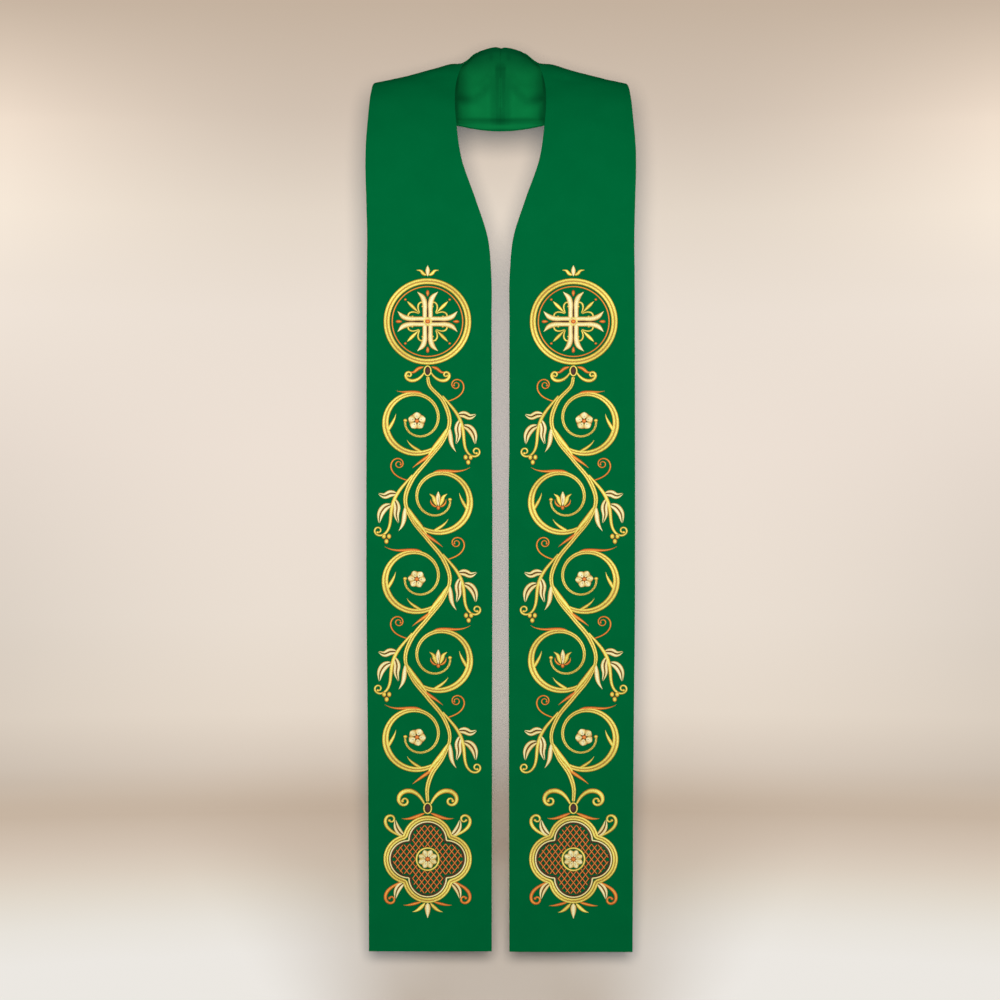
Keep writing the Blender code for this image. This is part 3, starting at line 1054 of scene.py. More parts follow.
    # -------------------------------------------------------------- the mesh
    def strips(self):
        """Places for every band on the bake's map: rows of strips in a square
        of this many millimetres. A long band is cut into several strips."""
        gap, under = 0.7, 0.55
        area = sum(b["length"] * (b["wide"] * 1.25 + under + 2 * gap) for b in self.bands)
        page = math.sqrt(area) * 1.03
        while True:
            page *= 1.02
            wanted = []
            for k, b in enumerate(self.bands):
                cuts = max(math.ceil(b["length"] / (page - 3 * gap - 1)), 1)
                for c in range(cuts):
                    wanted.append((b["wide"] * 1.25 + under + gap, b["length"] / cuts, k, c, cuts))
            wanted.sort(key=lambda w: (-w[0], -w[1], w[2], w[3]))
            rows, placed = [], {}
            used = 0.0
            for tall, long, k, c, cuts in wanted:
                need = long + 2 * gap + 0.6
                for row in rows:
                    if row[2] + need <= page and row[1] >= tall:
                        break
                else:
                    row = [used, tall, 0.0]
                    used += tall + gap
                    rows.append(row)
                placed[k, c] = (row[2] + gap + 0.6, row[0] + gap * 0.5, cuts)
                row[2] += need
            if used <= page:
                return page, placed

    def build(self, side, word):
        page, placed = self.strips()
        verts, faces, uvs, bake = [], [], [], []
        rim, light, twin, pad, seed = [], [], [], [], []
        start = 0
        for k, b in enumerate(self.bands):
            n, m = b["z"].shape
            u, w = on_front(b["xy"][..., 0], b["xy"][..., 1])
            p, _ = on_face(side, u, w, b["z"] * MM)
            verts.append(p.reshape(-1, 3))
            idx = start + np.arange(n * m).reshape(n, m)
            start += n * m
            rim.append(np.array(b["rim"], float).ravel())
            light.append(b["light"].ravel())
            for store, key in ((twin, "twin"), (pad, "pad"), (seed, "seedling")):
                store.append(np.full(n * m, b[key]))
            rows = np.arange(n if b["closed"] else n - 1)
            after = (rows + 1) % n
            long = np.append(b["s"], b["length"])
            here, there = long[rows], long[rows + 1]
            # top
            a, c = idx[rows], idx[after]
            quads = np.stack([a[:, :-1], c[:, :-1], c[:, 1:], a[:, 1:]], -1)
            cuts = placed[k, 0][2]
            piece = np.minimum((((here + there) / 2) / (b["length"] / cuts)).astype(int), cuts - 1)
            left = np.array([placed[k, c_][0] for c_ in range(cuts)])[piece]
            base = np.array([placed[k, c_][1] for c_ in range(cuts)])[piece]
            x0 = left + here - piece * (b["length"] / cuts)
            x1 = left + there - piece * (b["length"] / cuts)
            y = (ACROSS_OF[m] + 1) / 2 * b["wide"] * 1.25
            ax = np.broadcast_to(x0[:, None], (len(rows), m - 1))
            bx = np.broadcast_to(x1[:, None], (len(rows), m - 1))
            y0 = base[:, None] + y[None, :-1]
            y1 = base[:, None] + y[None, 1:]
            top = np.stack(
                [np.stack([ax, y0], -1), np.stack([bx, y0], -1),
                 np.stack([bx, y1], -1), np.stack([ax, y1], -1)], 2,
            )
            acr = b["across"]
            pa, pc = acr[rows], acr[after]
            hs = np.broadcast_to(here[:, None], (len(rows), m - 1))
            ts = np.broadcast_to(there[:, None], (len(rows), m - 1))
            flat = np.stack(
                [np.stack([hs, pa[:, :-1]], -1), np.stack([ts, pc[:, :-1]], -1),
                 np.stack([ts, pc[:, 1:]], -1), np.stack([hs, pa[:, 1:]], -1)], 2,
            )
            faces += quads.reshape(-1, 4).tolist()
            uvs.append(flat.reshape(-1, 2))
            bake.append(top.reshape(-1, 2))
            # underneath
            quads = np.stack([a[:, -1], c[:, -1], c[:, 0], a[:, 0]], -1)
            low = base + b["wide"] * 1.25 + 0.15
            under = np.stack(
                [np.stack([x0, low], -1), np.stack([x1, low], -1),
                 np.stack([x1, low + 0.4], -1), np.stack([x0, low + 0.4], -1)], 1,
            )
            faces += quads.reshape(-1, 4).tolist()
            uvs.append(
                np.stack(
                    [np.stack([here, pa[:, -1]], -1), np.stack([there, pc[:, -1]], -1),
                     np.stack([there, pc[:, 0]], -1), np.stack([here, pa[:, 0]], -1)], 1,
                ).reshape(-1, 2)
            )
            bake.append(under.reshape(-1, 2))
            if not b["closed"]:
                spot = 2 * PI * np.arange(m) / m
                for row, order, piece_ in ((0, 1, 0), (n - 1, -1, cuts - 1)):
                    faces.append(idx[row][::order].tolist())
                    uvs.append(np.stack([np.full(m, b["s"][row]), acr[row]], 1)[::order])
                    px, py, _ = placed[k, piece_]
                    px += -0.35 if row == 0 else b["length"] / cuts + 0.35
                    ring = np.stack([px + 0.25 * np.cos(spot), py + 0.3 + 0.25 * np.sin(spot)], 1)
                    bake.append(ring)
        verts = np.vstack(verts)
        uvs, bake = np.vstack(uvs) * MM, np.vstack(bake) / page
        if side * DRAWN_SIDE > 0:
            faces = [f[::-1] for f in faces]
            order = np.concatenate([np.arange(c, c - len(f), -1) for f, c in zip(
                faces, np.cumsum([len(f) for f in faces]) - 1)])
            uvs, bake = uvs[order], bake[order]
        name = self.name + "_" + word
        mesh = bpy.data.meshes.new(name)
        mesh.from_pydata(verts.tolist(), [], faces)
        for title, values in (("stitch", uvs), ("OFBake", bake)):
            layer = mesh.uv_layers.new(name=title)
            layer.uv.foreach_set("vector", values.astype(np.float32).ravel())
        mesh.uv_layers.active = mesh.uv_layers["stitch"]
        # light carries the painted sheen; rim places the painted highlight and shade across a band
        for title, values in (("rim", rim), ("light", light), ("twin", twin), ("pad", pad), ("strand", seed)):
            layer = mesh.attributes.new(title, "FLOAT", "POINT")
            layer.data.foreach_set("value", np.concatenate(values).astype(np.float32))
        mesh.shade_smooth()
        obj = bpy.data.objects.new(name, mesh)
        bpy.context.scene.collection.objects.link(obj)
        return obj


ACROSS_OF = {len(v): v for v in ACROSS.values()}
DRAWN_SIDE = 1


def mirrored(path):
    return np.array(path, float) * (-1, 1)


def both_ways(path):
    yield path
    yield mirrored(path)


class Ornament:
    """A generic ornament: a cross in a ring, a scrolling vine with flowers in
    its bays, and a quatrefoil with a lattice at the foot."""

    def __init__(self):
        self.gold = Thread("needlework_gold", 3)
        self.pale = Thread("needlework_pale", 5)
        self.amber = Thread("needlework_amber", 7)
        self.dark = Thread("needlework_dark", 9)
        self.cross(0.0, 72.0)
        self.vine(204.0, 105.0, 5)
        self.foot(0.0, 786.0)

    def threads(self):
        return self.gold, self.pale, self.amber, self.dark

    # ------------------------------------------------------------ small motifs
    def leaf(self, path, wide, vein=True, thread=None, painted_sheen=0.0, high=0.8, base=0.0):
        """A leaf in two halves of slanting satin with a dark vein between."""
        thread = thread or self.pale
        p = np.array(path, float)
        run = np.concatenate([[0], np.cumsum(np.hypot(*np.diff(p, axis=0).T))])
        f = run / run[-1]
        t = np.gradient(p, axis=0)
        t /= np.hypot(*t.T)[:, None]
        side = np.stack([-t[:, 1], t[:, 0]], 1)
        body = np.sin(PI * np.clip(f, 0, 1) ** 0.75) ** 0.8 * wide
        for k in (-1, 1):
            off = side * (k * (body / 4 + 0.42))[:, None]
            n = 9
            widths = np.interp(np.linspace(0, 1, n), f, np.maximum(body / 2, 0.35))
            widths[-1] = 0.2
            # the two halves get different painted sheen, one painted lighter than the other
            thread.band(
                p + off, widths, high, "satin" if wide > 6 else "fine",
                0.6, base, ends=(1, 0), painted_sheen=painted_sheen + 0.1 * k,
            )
        if vein:
            keep = f < 0.8
            self.dark.band(p[keep], [0.9, 1.0, 0.8, 0.3], 0.45, "fine", 0.8, base)

    def drop(self, thread, path, wide, painted_sheen=0.0, high=0.8, kind="satin", fat=0.35, base=0.0):
        """A single tapering band, fattest at this share of its length."""
        f = np.linspace(0, 1, 9)
        power = math.log(0.5) / math.log(fat)
        widths = np.maximum(np.sin(PI * f**power) ** 0.9 * wide, 0.3)
        thread.band(path, widths, high, kind, 0.6, base, ends=(1, 0), painted_sheen=painted_sheen)

    def curl(self, thread, path, widths, bulb=0.0, painted_sheen=0.0, kind="satin", high=0.7, step=0.6, base=0.0):
        """A band that ends in a small round bulb."""
        thread.band(path, widths, high, kind, step, base, painted_sheen=painted_sheen)
        if bulb:
            thread.pad(path[-1][0], path[-1][1], bulb, bulb * 0.94, 30, high * 1.15, painted_sheen)

    def rosette(self, cx, cy, r, petals, turn=0.0, thread=None, heart=None, veins=True):
        thread = thread or self.pale
        heart = heart or self.amber
        for k in range(petals):
            a = turn + 360 * k / petals
            d = np.array([math.cos(math.radians(a)), math.sin(math.radians(a))])
            line = np.linspace(r * 0.22, r, 24)[:, None] * d + (cx, cy)
            wide = 2 * r * math.sin(PI / petals) * 0.86
            # petals facing one way are painted lighter, a painted sheen
            thread.band(
                line, [wide * 0.3, wide * 0.72, wide, wide * 0.98, wide * 0.7],
                0.9, "satin", 0.55, ends=(1, 1), painted_sheen=0.08 * math.cos(math.radians(a - 230)),
            )
            if veins:
                self.dark.band(line[5:15], [0.9, 0.7, 0.3], 0.32, "fine", 0.7, base=0.72)
        heart.pad(cx, cy, r * 0.5, r * 0.5, 20, 1.25)

    def lily(self, cx, cy, r, angle):
        """Three petals opening upwards along angle, with a calyx."""
        def put(path):
            return turned(path, angle, cx, cy, r / 12.0)

        self.drop(self.pale, put(through((0, 9), (0.4, 0), (0, -13))), 7.5 * r / 12, 0.1, 1.0, fat=0.55)
        self.dark.band(put(through((0, 3), (0, -6))), [0.8, 0.8, 0.3], 0.3, "fine", 0.7, base=0.85)
        for path in both_ways(through((2.2, 8), (5.2, 1), (7.2, -5), (12.6, -9.5))):
            self.drop(self.gold, put(path), 6.0 * r / 12, 0.05, 0.95, fat=0.45)
        for path in both_ways(through((1.5, 9), (6, 8), (10.4, 3.2), (11, -1.6))):
            self.drop(self.amber, put(path), 3.2 * r / 12, 0.0, 0.8, "fine", fat=0.4)
        self.amber.pad(*put([(0, 10.5)])[0], 6.4 * r / 12, 5.2 * r / 12, angle + 90, 1.2)

    def jewel(self, cx, cy, long, wide, angle=90.0):
        self.dark.pad(cx, cy, long - 3.0, wide - 3.0, angle, 0.9)
        a = np.radians(np.linspace(0, 360, 90, endpoint=False))
        ring = np.stack([(long / 2 - 0.9) * np.cos(a), (wide / 2 - 0.9) * np.sin(a)], 1)
        self.gold.band(turned(ring, angle, cx, cy), 2.2, 0.75, "fine", 0.55, closed=True, painted_sheen=0.2, swing=0.4)

    def berries(self, cx, cy, angle, count=3, size=6.4):
        spots = [(0, 0), (size * 1.02, -size * 0.52), (size * 1.02, size * 0.52)][:count]
        for x, y in turned(spots, angle, cx, cy):
            self.gold.pad(x, y, size * 1.12, size * 0.9, angle, 1.3, 0.05)

    def tendril(self, path, wide=1.9, thread=None, painted_sheen=0.0):
        (thread or self.gold).band(
            path, [wide * 0.9, wide, wide, wide * 0.8, wide * 0.62], 0.5, "fine", 0.55, painted_sheen=painted_sheen
        )

    # ------------------------------------------------------------ the cross
    def cross(self, cx, cy):
        ring = arc(cx, cy, 53.5, 0, 360)[:-1]
        self.gold.band(ring, 8.4, 0.95, "twin", 0.7, closed=True)
        ring = arc(cx, cy, 46.4, 0, 360)[:-1]
        self.amber.band(ring, 1.9, 0.5, "fine", 0.6, closed=True, painted_sheen=0.05)
        for k in range(4):
            a = 90.0 * k
            put = lambda p, a=a: turned(p, a, cx, cy)  # noqa: E731
            for path in both_ways(through((3.7, 3.2), (3.7, -12), (3.9, -24), (6.4, -32), (13.6, -39.4))):
                self.pale.band(
                    put(path), [6.4, 6.4, 6.4, 7.4, 6.6, 0.3], 0.95, "satin", 0.62,
                    base=0.15 if k % 2 else 0.0, ends=(1, 0),
                )
            self.dark.band(put(through((0, -1.5), (0, -15), (0, -30))), [1.5, 1.5, 1.2, 0.5], 0.8, "fine", 0.8, base=0.1)
            self.amber.pad(*put([(0, -37.5)])[0], 8.6, 4.4, a + 90, 1.0, tip=0.5)
            # a sprig in each quarter
            put = lambda p, a=a + 45: turned(p, a, cx, cy)  # noqa: E731
            self.drop(self.gold, put(through((0, -15), (0, -26), (0, -38))), 4.6, 0.15, 0.8, fat=0.6)
            for path in both_ways(grown(0.7, -15.5, -72, 26, [1.5, 4, 10, 17, 26])):
                self.curl(self.gold, put(path), [1.6, 2.4, 2.4, 1.8], 2.9, high=0.55, kind="fine")
            self.amber.pad(*put([(0, -41.2)])[0], 3.4, 3.4, 0, 0.9)
        self.gold.band(arc(cx, cy, 4.5, 0, 360)[:-1], 2.0, 1.25, "fine", 0.5, base=0.35, closed=True, painted_sheen=0.2)
        self.amber.pad(cx, cy, 7.0, 7.0, 0, 1.9)
        # a small finial above the ring
        for path in both_ways(through((1.2, 10.5), (5.5, 8.6), (9.2, 4.6), (14.8, 3.6))):
            self.drop(self.gold, path, 4.6, 0.1)
        self.drop(self.pale, through((0, 12), (0, 6), (0, -2.5)), 6.2, 0.1, fat=0.5)
        # below it, a jewel and two horns
        self.jewel(cx, cy + 65.5, 14.5, 10.5)
        for path in both_ways(through((5, cy + 60), (12, cy + 62.5), (19, cy + 67.5), (26.5, cy + 66))):
            self.drop(self.amber, path, 4.4, 0.0, fat=0.35)
        for path in both_ways(grown(4.4, cy + 67.5, 62, 50, [-2.2, -2.6, -4.5, -8.5, -17, -26])):
            self.curl(self.gold, path, [2.0, 3.6, 4.8, 4.0, 3.0, 2.2], 3.8)

    # ------------------------------------------------------------ the vine
    def vine(self, first, pitch, bays):
        out, radius = 14.0, 43.0
        far = radius - out
        points = [(0.0, first - 59.0), (-2.6, first - 47.0)]
        widths = []
        for k in range(bays):
            s = 1 if k % 2 == 0 else -1
            y = first + pitch * k
            if k:
                points.append((0.0, y - pitch / 2))
            points += [(-20.4 * s, y - 26.5), (-far * s, y), (-20.4 * s, y + 26.5)]
        last = first + pitch * (bays - 1)
        points += [(-5.5 * s, last + 49), (0.4 * s, last + 68), (0, last + 86.0)]
        stem = through(*points)
        waves = 4 * bays + 2
        widths = [4.4] + [5.2 + 0.8 * math.sin(PI * i / 2) for i in range(waves)] + [4.2]
        self.gold.band(stem, widths, 0.9, "twin", 0.7, base=0.2)
        for k in range(bays):
            self.bay(first + pitch * k, 1 if k % 2 == 0 else -1, k, out, radius)

    def bay(self, y, s, k, out, radius):
        def put(path):
            p = np.array(path, float)
            return np.stack([s * p[..., 0], y + p[..., 1]], -1)

        # the scroll carries the stem's bend on round the bay and inwards
        scroll = whorl(
            out, 0.0,
            [(152, radius), (110, radius), (66, 43), (22, 42), (-22, 40), (-66, 37.4),
             (-110, 34), (-154, 30), (-198, 26), (-242, 22.2), (-286, 18.8), (-330, 16.4), (-362, 15.2)],
        )
        self.gold.band(
            put(scroll), [3.2, 6.2, 8.2, 9.0, 7.8, 6.2, 4.8, 3.6, 2.8, 2.6], 0.95, "twin", 0.7,
            painted_sheen=0.02 * (k % 3),
        )
        end = put(scroll)[-1]
        self.gold.pad(end[0], end[1], 5.0, 4.6, 0, 0.95, 0.1)
        # spurs off the scroll: a berry stalk outside, two thorns inside
        if k:
            stalk = grown(out - 7, -36.6, -15, 50, [1.2, 0.9, -0.3, -1.6, -2.2])
            self.drop(self.amber, put(stalk), 4.6, 0.0, fat=0.28)
            self.berries(*put([(out + 39.4, -50.2)])[0], -90)
        else:
            self.drop(self.amber, put(grown(out - 7, -36.6, -14, 34, [1.2, 0.4, -2.4])), 4.4, 0.0, fat=0.28)
        self.drop(self.gold, put(grown(out + 38.5, 15, -112, 27, [-1.5, 0.5, 2.4])), 4.4, 0.05, fat=0.35)
        self.drop(self.gold, put(grown(out - 8, 41.8, -22, 27, [-1.0, -1.0, -3.0])), 4.2, 0.0, fat=0.35)
        # the sheath where it leaves the stem
        self.drop(self.pale, put(grown(-28.4, 6, 96, 37, [0.5, -0.6, 2.4, 1.0])), 6.4, 0.1, 1.0, fat=0.45, base=0.1)
        self.drop(self.gold, put(grown(-25.5, 9, 68, 50, [-0.7, -0.9, 0.6, 1.4])), 6.2, 0.1, 1.05, fat=0.4, base=0.35)
        self.drop(self.amber, put(grown(-13, 36.5, 46, 42, [-0.8, -0.2, 0.8])), 4.6, 0.0, 0.85, fat=0.45, base=0.1)
        # what fills the bay's middle
        if k % 2 == 0:
            self.rosette(s * out, y, 11.6, 5 if k != 2 else 6, -90 + 12 * k)
        else:
            self.lily(s * out, y + 0.6, 11.0, 0.0)
        self.spray(put)

    def spray(self, put):
        """The side shoot outside the stem's bend."""
        shoot = grown(-19.6, -33.5, 129, 124, [0.1, 0.2, -0.9, -1.2, -1.0, 0.4, 2.6, 6.5, 13.0, 21.0])
        self.gold.band(put(shoot), [2.4, 3.8, 4.8, 4.8, 4.0, 3.2, 2.6, 2.2], 0.75, "satin", 0.62)
        end = put(shoot)[-1]
        self.gold.pad(end[0], end[1], 4.0, 3.7, 0, 0.9, 0.1)
        # leaves on it
        self.leaf(put(through((-47.5, 6), (-55.5, 10), (-61.0, 18), (-63.0, 30.5))), 9.6)
        self.leaf(put(through((-43.5, -2), (-39.8, 9), (-40.5, 20), (-37.8, 30.5))), 8.2)
        self.leaf(put(through((-40.5, -8.5), (-48.5, -8.5), (-56.0, -5.5), (-64, -8.5))), 8.8)
        # a looped tendril, up from the stem
        loop = grown(-24.6, -25.5, 196, 84, [0.2, 1.2, 2.8, 4.6, 6.4, 8.4, 11.0, 15.0, 20.0])
        self.tendril(put(loop), 2.1, self.amber, 0.1)
        end = put(loop)[-1]
        self.amber.pad(end[0], end[1], 2.9, 2.9, 0, 0.7)

    # ------------------------------------------------------------ the foot
    def foot(self, cx, cy):
        r = 25.0

        def outline(off):
            """The quatrefoil's outline moved outwards by this much."""
            reach = r + off
            p = (r + math.sqrt(r * r + 2 * (reach * reach - r * r))) / 2
            d = math.degrees(math.atan2(p, p - r))
            parts = []
            for q in range(4):
                a = 90.0 * q
                ox, oy = cx + r * math.cos(math.radians(a)), cy + r * math.sin(math.radians(a))
                parts.append(arc(ox, oy, reach, a - d, a + d)[:-1])
            return np.vstack(parts)

        def depth(x, y):
            """How far inside the plain quatrefoil a point is."""
            x, y = np.abs(x - cx), np.abs(y - cy)
            box = r - np.maximum(x, y)
            lobes = np.maximum(r - np.hypot(x - r, y), r - np.hypot(x, y - r))
            return np.maximum(box, lobes)

        self.gold.band(softened(outline(4.6), 6.0), 6.8, 0.95, "twin", 0.7, closed=True)
        self.pale.band(softened(outline(-0.5), 2.5), 2.4, 0.75, "fine", 0.6, closed=True, painted_sheen=0.15)
        self.dark.band(softened(outline(-2.7), 1.5), 1.9, 0.5, "fine", 0.8, closed=True)
        # the lattice
        for turn, thread, wide, shade in ((52.0, self.dark, 3.5, 1.0), (-52.0, self.dark, 3.5, 1.0), (52.0, self.amber, 1.25, 0.1), (-52.0, self.amber, 1.25, 0.1)):
            a = math.radians(turn)
            d = np.array([math.cos(a), math.sin(a)])
            n = np.array([-d[1], d[0]])
            for i in range(-9, 10):
                t = np.arange(-56, 56, 0.4)
                p = np.array([cx, cy]) + n * (i * 6.2 + 0.1) + t[:, None] * d
                hub = np.hypot(p[:, 0] - cx, p[:, 1] - cy)
                inside = (depth(p[:, 0], p[:, 1]) > 4.4) & (hub > 15.5)
                edge = np.flatnonzero(np.diff(np.concatenate([[0], inside, [0]])))
                for b, e in edge.reshape(-1, 2):
                    if e - b < 8:
                        continue
                    level = (0.0 if turn > 0 else 0.1) + (0.32 if thread is self.amber else 0)
                    thread.band(p[b:e], wide, 0.34, "fine", 1.1, level, painted_sheen=shade - 0.0, swing=0.3)
        # the middle flower
        self.gold.band(arc(cx, cy, 14.6, 0, 360)[:-1], 2.8, 0.8, "fine", 0.6, closed=True, painted_sheen=0.1)
        self.rosette(cx, cy, 12.6, 8, 22.5)
        # buds on the diagonals, curls above and below
        for sx in (1, -1):
            for sy in (1, -1):
                put = lambda p, sx=sx, sy=sy: np.array(p, float) * (sx, sy) + (cx, cy)  # noqa: E731
                self.leaf(put(through((31.5, 31.5), (36.5, 35.5), (40.5, 42), (42.5, 52))), 8.0)
                self.curl(
                    self.amber if sy > 0 else self.gold,
                    put(grown(33, 29.5, 24, 60, [0.2, 0.8, 3.0, 7.0, 12.0, 20.0])),
                    [2.4, 3.6, 4.6, 4.0, 3.0, 2.2], 3.8,
                )
        # the link to the vine, and the drops below
        top = cy - r * 2 - 8.0
        self.jewel(cx, top - 9.5, 15.5, 11.5)
        for path in both_ways(grown(4.2, top - 15.0, -66, 78, [0.8, 2.0, 3.6, 4.4, 7.0, 12.0, 20.0])):
            self.curl(self.gold, path, [2.4, 4.6, 6.6, 6.2, 4.6, 3.2, 2.4], 4.4)
        for path in both_ways(grown(3.4, top - 3.2, 22, 32, [0.5, -1.0, -3.0])):
            self.drop(self.amber, path, 4.8, 0.0, fat=0.4)
        low = cy + r * 2 + 8.0
        self.drop(self.pale, through((cx, low - 0.6), (cx, low + 9), (cx, low + 19.5)), 8.0, 0.1, 1.0, fat=0.35)
        for path in both_ways(grown(3.4, low - 0.5, 50, 21, [0, -2.0, -4.5])):
            self.drop(self.gold, path, 5.0, 0.1, fat=0.4)
        for path in both_ways(grown(7.5, low - 2.0, 16, 25, [0, -0.4, -3.0])):
            self.drop(self.amber, path, 3.8, 0.0, fat=0.4)


# ------------------------------------------------------------------ camera first
camera_data = bpy.data.cameras.new("camera")
camera_data.sensor_width = 36.0
camera_data.lens = 36.0 * VIEW_DISTANCE / VIEW_WIDTH
camera_data.dof.use_dof = False
camera_data.clip_end = 60.0
camera = bpy.data.objects.new("camera", camera_data)
camera.location = EYE
camera.rotation_euler = (PI / 2, 0.0, 0.0)
bpy.context.scene.collection.objects.link(camera)
bpy.context.scene.camera = camera

# ------------------------------------------------------------------ cloth
RINGS = ring_places()
FACE_FINISH, LINING_FINISH = face_material(), lining_material()
ORNAMENT = Ornament()
for side, word in ((1, "left"), (-1, "right")):
    face = cloth_wall(
        "face_panel_" + word, side, RINGS, FACE_T, 0.0, 0.0, RELIEF[side].face
    )
    face.data.materials.append(FACE_FINISH)
    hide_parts("face_" + word)
    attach(face, "root")
    lining = cloth_wall(
        "lining_panel_" + word,
        side,
        RINGS,
        LINING_T,
        LINING_INSET,
        (FACE_T + LINING_T) / 2 + LAYER_GAP,
        RELIEF[side].lining,
    )
    lining.data.materials.append(LINING_FINISH)
    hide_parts("lining_" + word)
    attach(lining, "root")
    for thread, finish in zip(ORNAMENT.threads(), ("gold", "pale", "amber", "dark")):
        piece = thread.build(side, word)
        piece.data.materials.append(THREADS[finish])
        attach(piece, "root")


# ------------------------------------------------------------------ stage
FLOOR_Z = -1.46
STAGE_WORLD = 0.215
# place, radius, power and tint of the lamps that light only the sweep: one beside
# the eye, which draws a soft shadow round the whole outline, and a cool one above
# it, which lays the broad, warmer shadow on the floor
STAGE_LAMPS = [
    ((EYE[0], EYE[1], EYE[2] + 0.024), 0.047, 31500.0, (1.0, 1.0, 1.0)),
    ((0.0, -3.0, 0.95), 0.33, 9600.0, (0.57, 0.765, 1.0)),
]


def studio():
    """A round pale sweep: a floor that curves up into a wall all round."""
    profile = [(0.0, 0.0), (1.5, 0.0), (3.0, 0.0), (4.6, 0.0)]
    for k in range(1, 13):
        a = PI / 2 * k / 12
        profile.append((4.6 + 2.4 * math.sin(a), 2.4 - 2.4 * math.cos(a)))
    profile += [(7.0, 4.0), (7.0, 6.5)]
    count = 96
    verts = [(0.0, 0.0, FLOOR_Z)]
    for radius, height in profile[1:]:
        for k in range(count):
            a = 2 * PI * k / count
            verts.append((radius * math.cos(a), radius * math.sin(a), FLOOR_Z + height))
    faces = [[0, 1 + k, 1 + (k + 1) % count] for k in range(count)]
    for i in range(len(profile) - 2):
        p, q = 1 + i * count, 1 + (i + 1) * count
        for k in range(count):
            m = (k + 1) % count
            faces.append([p + k, q + k, q + m, p + m])
    mesh = bpy.data.meshes.new("studio_sweep")
    mesh.from_pydata(verts, [], faces)
    mesh.shade_smooth()
    obj = bpy.data.objects.new("studio_sweep", mesh)
    bpy.context.scene.collection.objects.link(obj)
    m = Nodes("studio_paper")
    place = m.new("ShaderNodeNewGeometry")
    split = m.new("ShaderNodeSeparateXYZ")
    m.link(place.outputs["Position"], split.inputs[0])
    height = m.math("SUBTRACT", split.outputs[2], FLOOR_Z)
    # the paper's pale warm colour, painted darker towards the top of the wall and in a band where floor meets wall,
    # lightest at mid-height: painted light and shade
    wall = m.ramp(
        m.math("DIVIDE", height, 4.0, clamp=True),
        [
            (0.0, linear(199, 181, 162)),
            (0.02, linear(215, 201, 186)),
            (0.05, linear(229, 216, 201)),
            (0.12, linear(234, 222, 209)),
            (0.26, linear(237, 224, 212)),
            (0.38, linear(235, 223, 211)),
            (0.47, linear(228, 215, 200)),
            (0.56, linear(210, 194, 178)),
            (0.67, linear(195, 176, 157)),
        ],
    )
    flat = m.new("ShaderNodeCombineXYZ")
    m.link(split.outputs[0], flat.inputs[0])
    m.link(split.outputs[1], flat.inputs[1])
    far = m.new("ShaderNodeVectorMath", operation="LENGTH")
    m.link(flat.outputs[0], far.inputs[0])
    # the floor painted lighter near the middle and darker towards the wall: painted light and shade
    floor = m.ramp(
        m.math("DIVIDE", far.outputs["Value"], 5.0, clamp=True),
        [
            (0.36, linear(236, 232, 226)),
            (0.45, linear(232, 227, 218)),
            (0.56, linear(225, 216, 202)),
            (0.64, linear(219, 206, 190)),
            (0.74, linear(211, 195, 178)),
            (0.9, linear(199, 181, 162)),
        ],
    )
    rising = m.math("DIVIDE", height, 0.02, clamp=True)
    colour = m.mix(rising, floor, wall)
    # painted light and shade: away from the middle the wall is painted lighter high up and duller low down
    aside = m.math("SUBTRACT", m.math("ABSOLUTE", split.outputs[0]), 0.7)
    aside = m.math("POWER", m.math("DIVIDE", aside, 1.02, clamp=True), 1.6)
    spill = m.ramp(
        m.math("DIVIDE", height, 4.0, clamp=True),
        [
            (0.0, (0.5, 0.5, 0.5, 1)),
            (0.012, (0.432, 0.432, 0.432, 1)),
            (0.1, (0.418, 0.418, 0.418, 1)),
            (0.25, (0.462, 0.462, 0.462, 1)),
            (0.41, (0.535, 0.535, 0.535, 1)),
            (0.5, (0.625, 0.625, 0.625, 1)),
            (0.55, (0.665, 0.665, 0.665, 1)),
            (0.66, (0.51, 0.51, 0.51, 1)),
        ],
    )
    gain = m.math("MULTIPLY_ADD", m.math("MULTIPLY_ADD", spill, 2.0, -1.0), aside, 1.0)
    # the paper evens out the fall of the lamps' light with distance and slope
    got = [STAGE_WORLD] * 3
    for spot, _, power, tint in STAGE_LAMPS:
        away = m.new("ShaderNodeVectorMath", operation="SUBTRACT")
        away.inputs[0].default_value = spot
        m.link(place.outputs["Position"], away.inputs[1])
        reach = m.new("ShaderNodeVectorMath", operation="LENGTH")
        m.link(away.outputs[0], reach.inputs[0])
        slope = m.new("ShaderNodeVectorMath", operation="DOT_PRODUCT")
        m.link(away.outputs[0], slope.inputs[0])
        m.link(place.outputs["Normal"], slope.inputs[1])
        share = m.math("DIVIDE", m.math("ABSOLUTE", slope.outputs["Value"]), m.math("POWER", reach.outputs["Value"], 3.0))
        got = [m.math("MULTIPLY_ADD", share, power * c / (4 * PI * PI), g) for c, g in zip(tint, got)]
    even = m.new("ShaderNodeCombineColor")
    for socket, light in zip(even.inputs, got):
        m.link(m.math("DIVIDE", gain, light), socket)
    colour = m.mix(1.0, colour, even.outputs[0], "MULTIPLY")
    m.link(colour, m.shader.inputs["Base Color"])
    m.shader.inputs["Roughness"].default_value = 1.0
    m.shader.inputs["Specular IOR Level"].default_value = 0.0
    mesh.materials.append(m.material)
    obj.visible_shadow = False
    obj.visible_diffuse = False
    obj.visible_glossy = False
    return obj


def linked(name, objects):
    group = bpy.data.collections.new(name)
    for obj in objects:
        group.objects.link(obj)
    return group


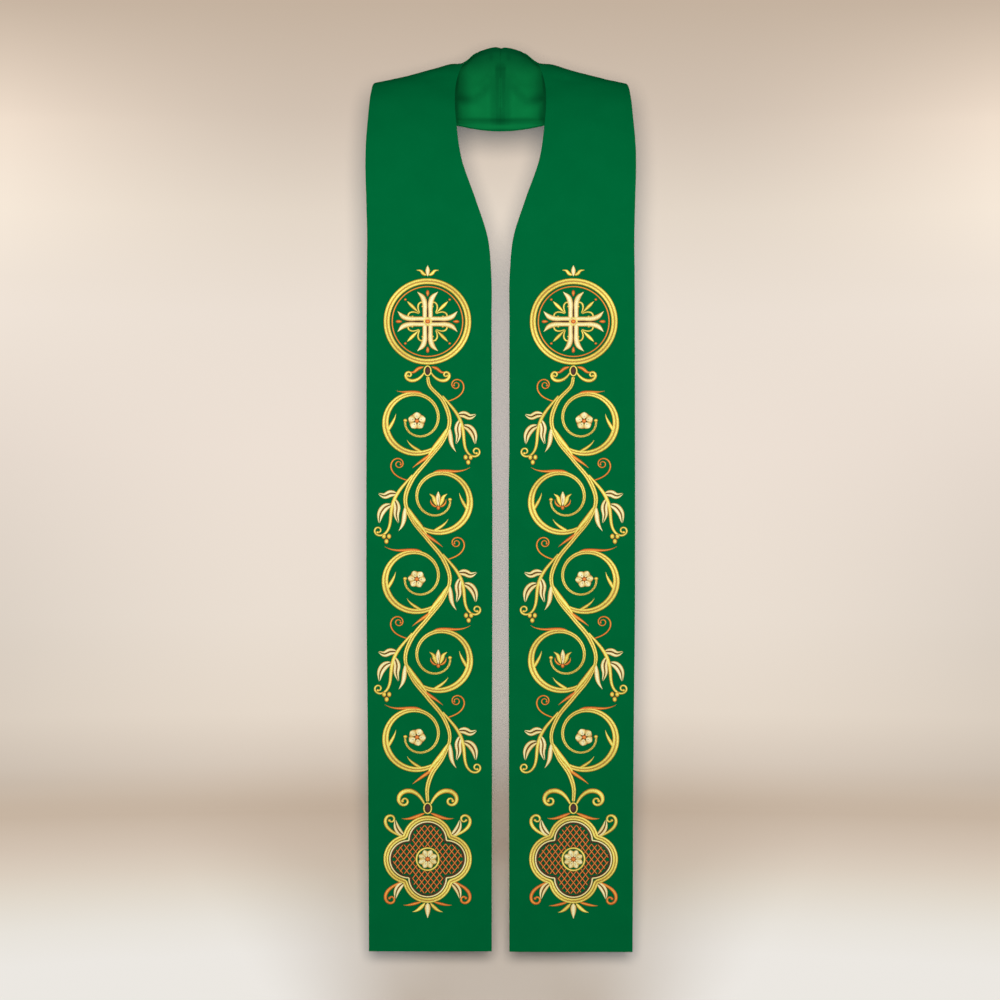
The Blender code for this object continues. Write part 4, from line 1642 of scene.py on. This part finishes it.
ONLY_STOLE = linked("lit_stole", [o for o in bpy.context.scene.objects if o.type == "MESH"])
ONLY_SWEEP = linked("lit_sweep", [studio()])

world = bpy.data.worlds.new("studio_light")
bpy.context.scene.world = world
world.use_nodes = True
world.node_tree.nodes["Background"].inputs["Color"].default_value = (1, 1, 1, 1)
world.node_tree.nodes["Background"].inputs["Strength"].default_value = STAGE_WORLD


def softbox(name, place, aim, size, watts, size_y, spread=70):
    light = bpy.data.lights.new(name, "AREA")
    light.energy = watts
    light.shape = "RECTANGLE"
    light.size = size
    light.size_y = size_y
    light.spread = math.radians(spread)
    obj = bpy.data.objects.new(name, light)
    obj.location = place
    obj.rotation_euler = (Vector(aim) - Vector(place)).to_track_quat("-Z", "Y").to_euler()
    obj.visible_camera = False
    obj.light_linking.receiver_collection = ONLY_STOLE
    bpy.context.scene.collection.objects.link(obj)
    return obj


def sweep_lamp(name, place, radius, watts, tint):
    light = bpy.data.lights.new(name, "POINT")
    light.energy = watts
    light.color = tint
    light.shadow_soft_size = radius
    obj = bpy.data.objects.new(name, light)
    obj.location = place
    obj.visible_camera = False
    obj.light_linking.receiver_collection = ONLY_SWEEP
    bpy.context.scene.collection.objects.link(obj)
    return obj


softbox("front_box", (-0.1, -4.7, -0.38), (0, 0, 0.04), 1.8, 17.9, size_y=1.0, spread=66)
softbox("back_box", (0.4, 4.5, 0.8), (0, 0, -0.15), 1.8, 25.0, size_y=1.0, spread=66)
softbox("left_box", (4.2, -1.9, -0.3), (0, 0, -0.4), 1.6, 8.4, size_y=1.0, spread=60)
softbox("right_box", (-4.2, -1.9, -0.3), (0, 0, -0.4), 1.6, 8.4, size_y=1.0, spread=60)

for name, (spot, radius, watts, tint) in zip(("rim_lamp", "floor_lamp"), STAGE_LAMPS):
    sweep_lamp(name, spot, radius, watts, tint)

scene = bpy.context.scene
scene.view_settings.view_transform = "Standard"
scene.view_settings.look = "None"
scene.view_settings.exposure = 0.0
scene.view_settings.gamma = 1.0
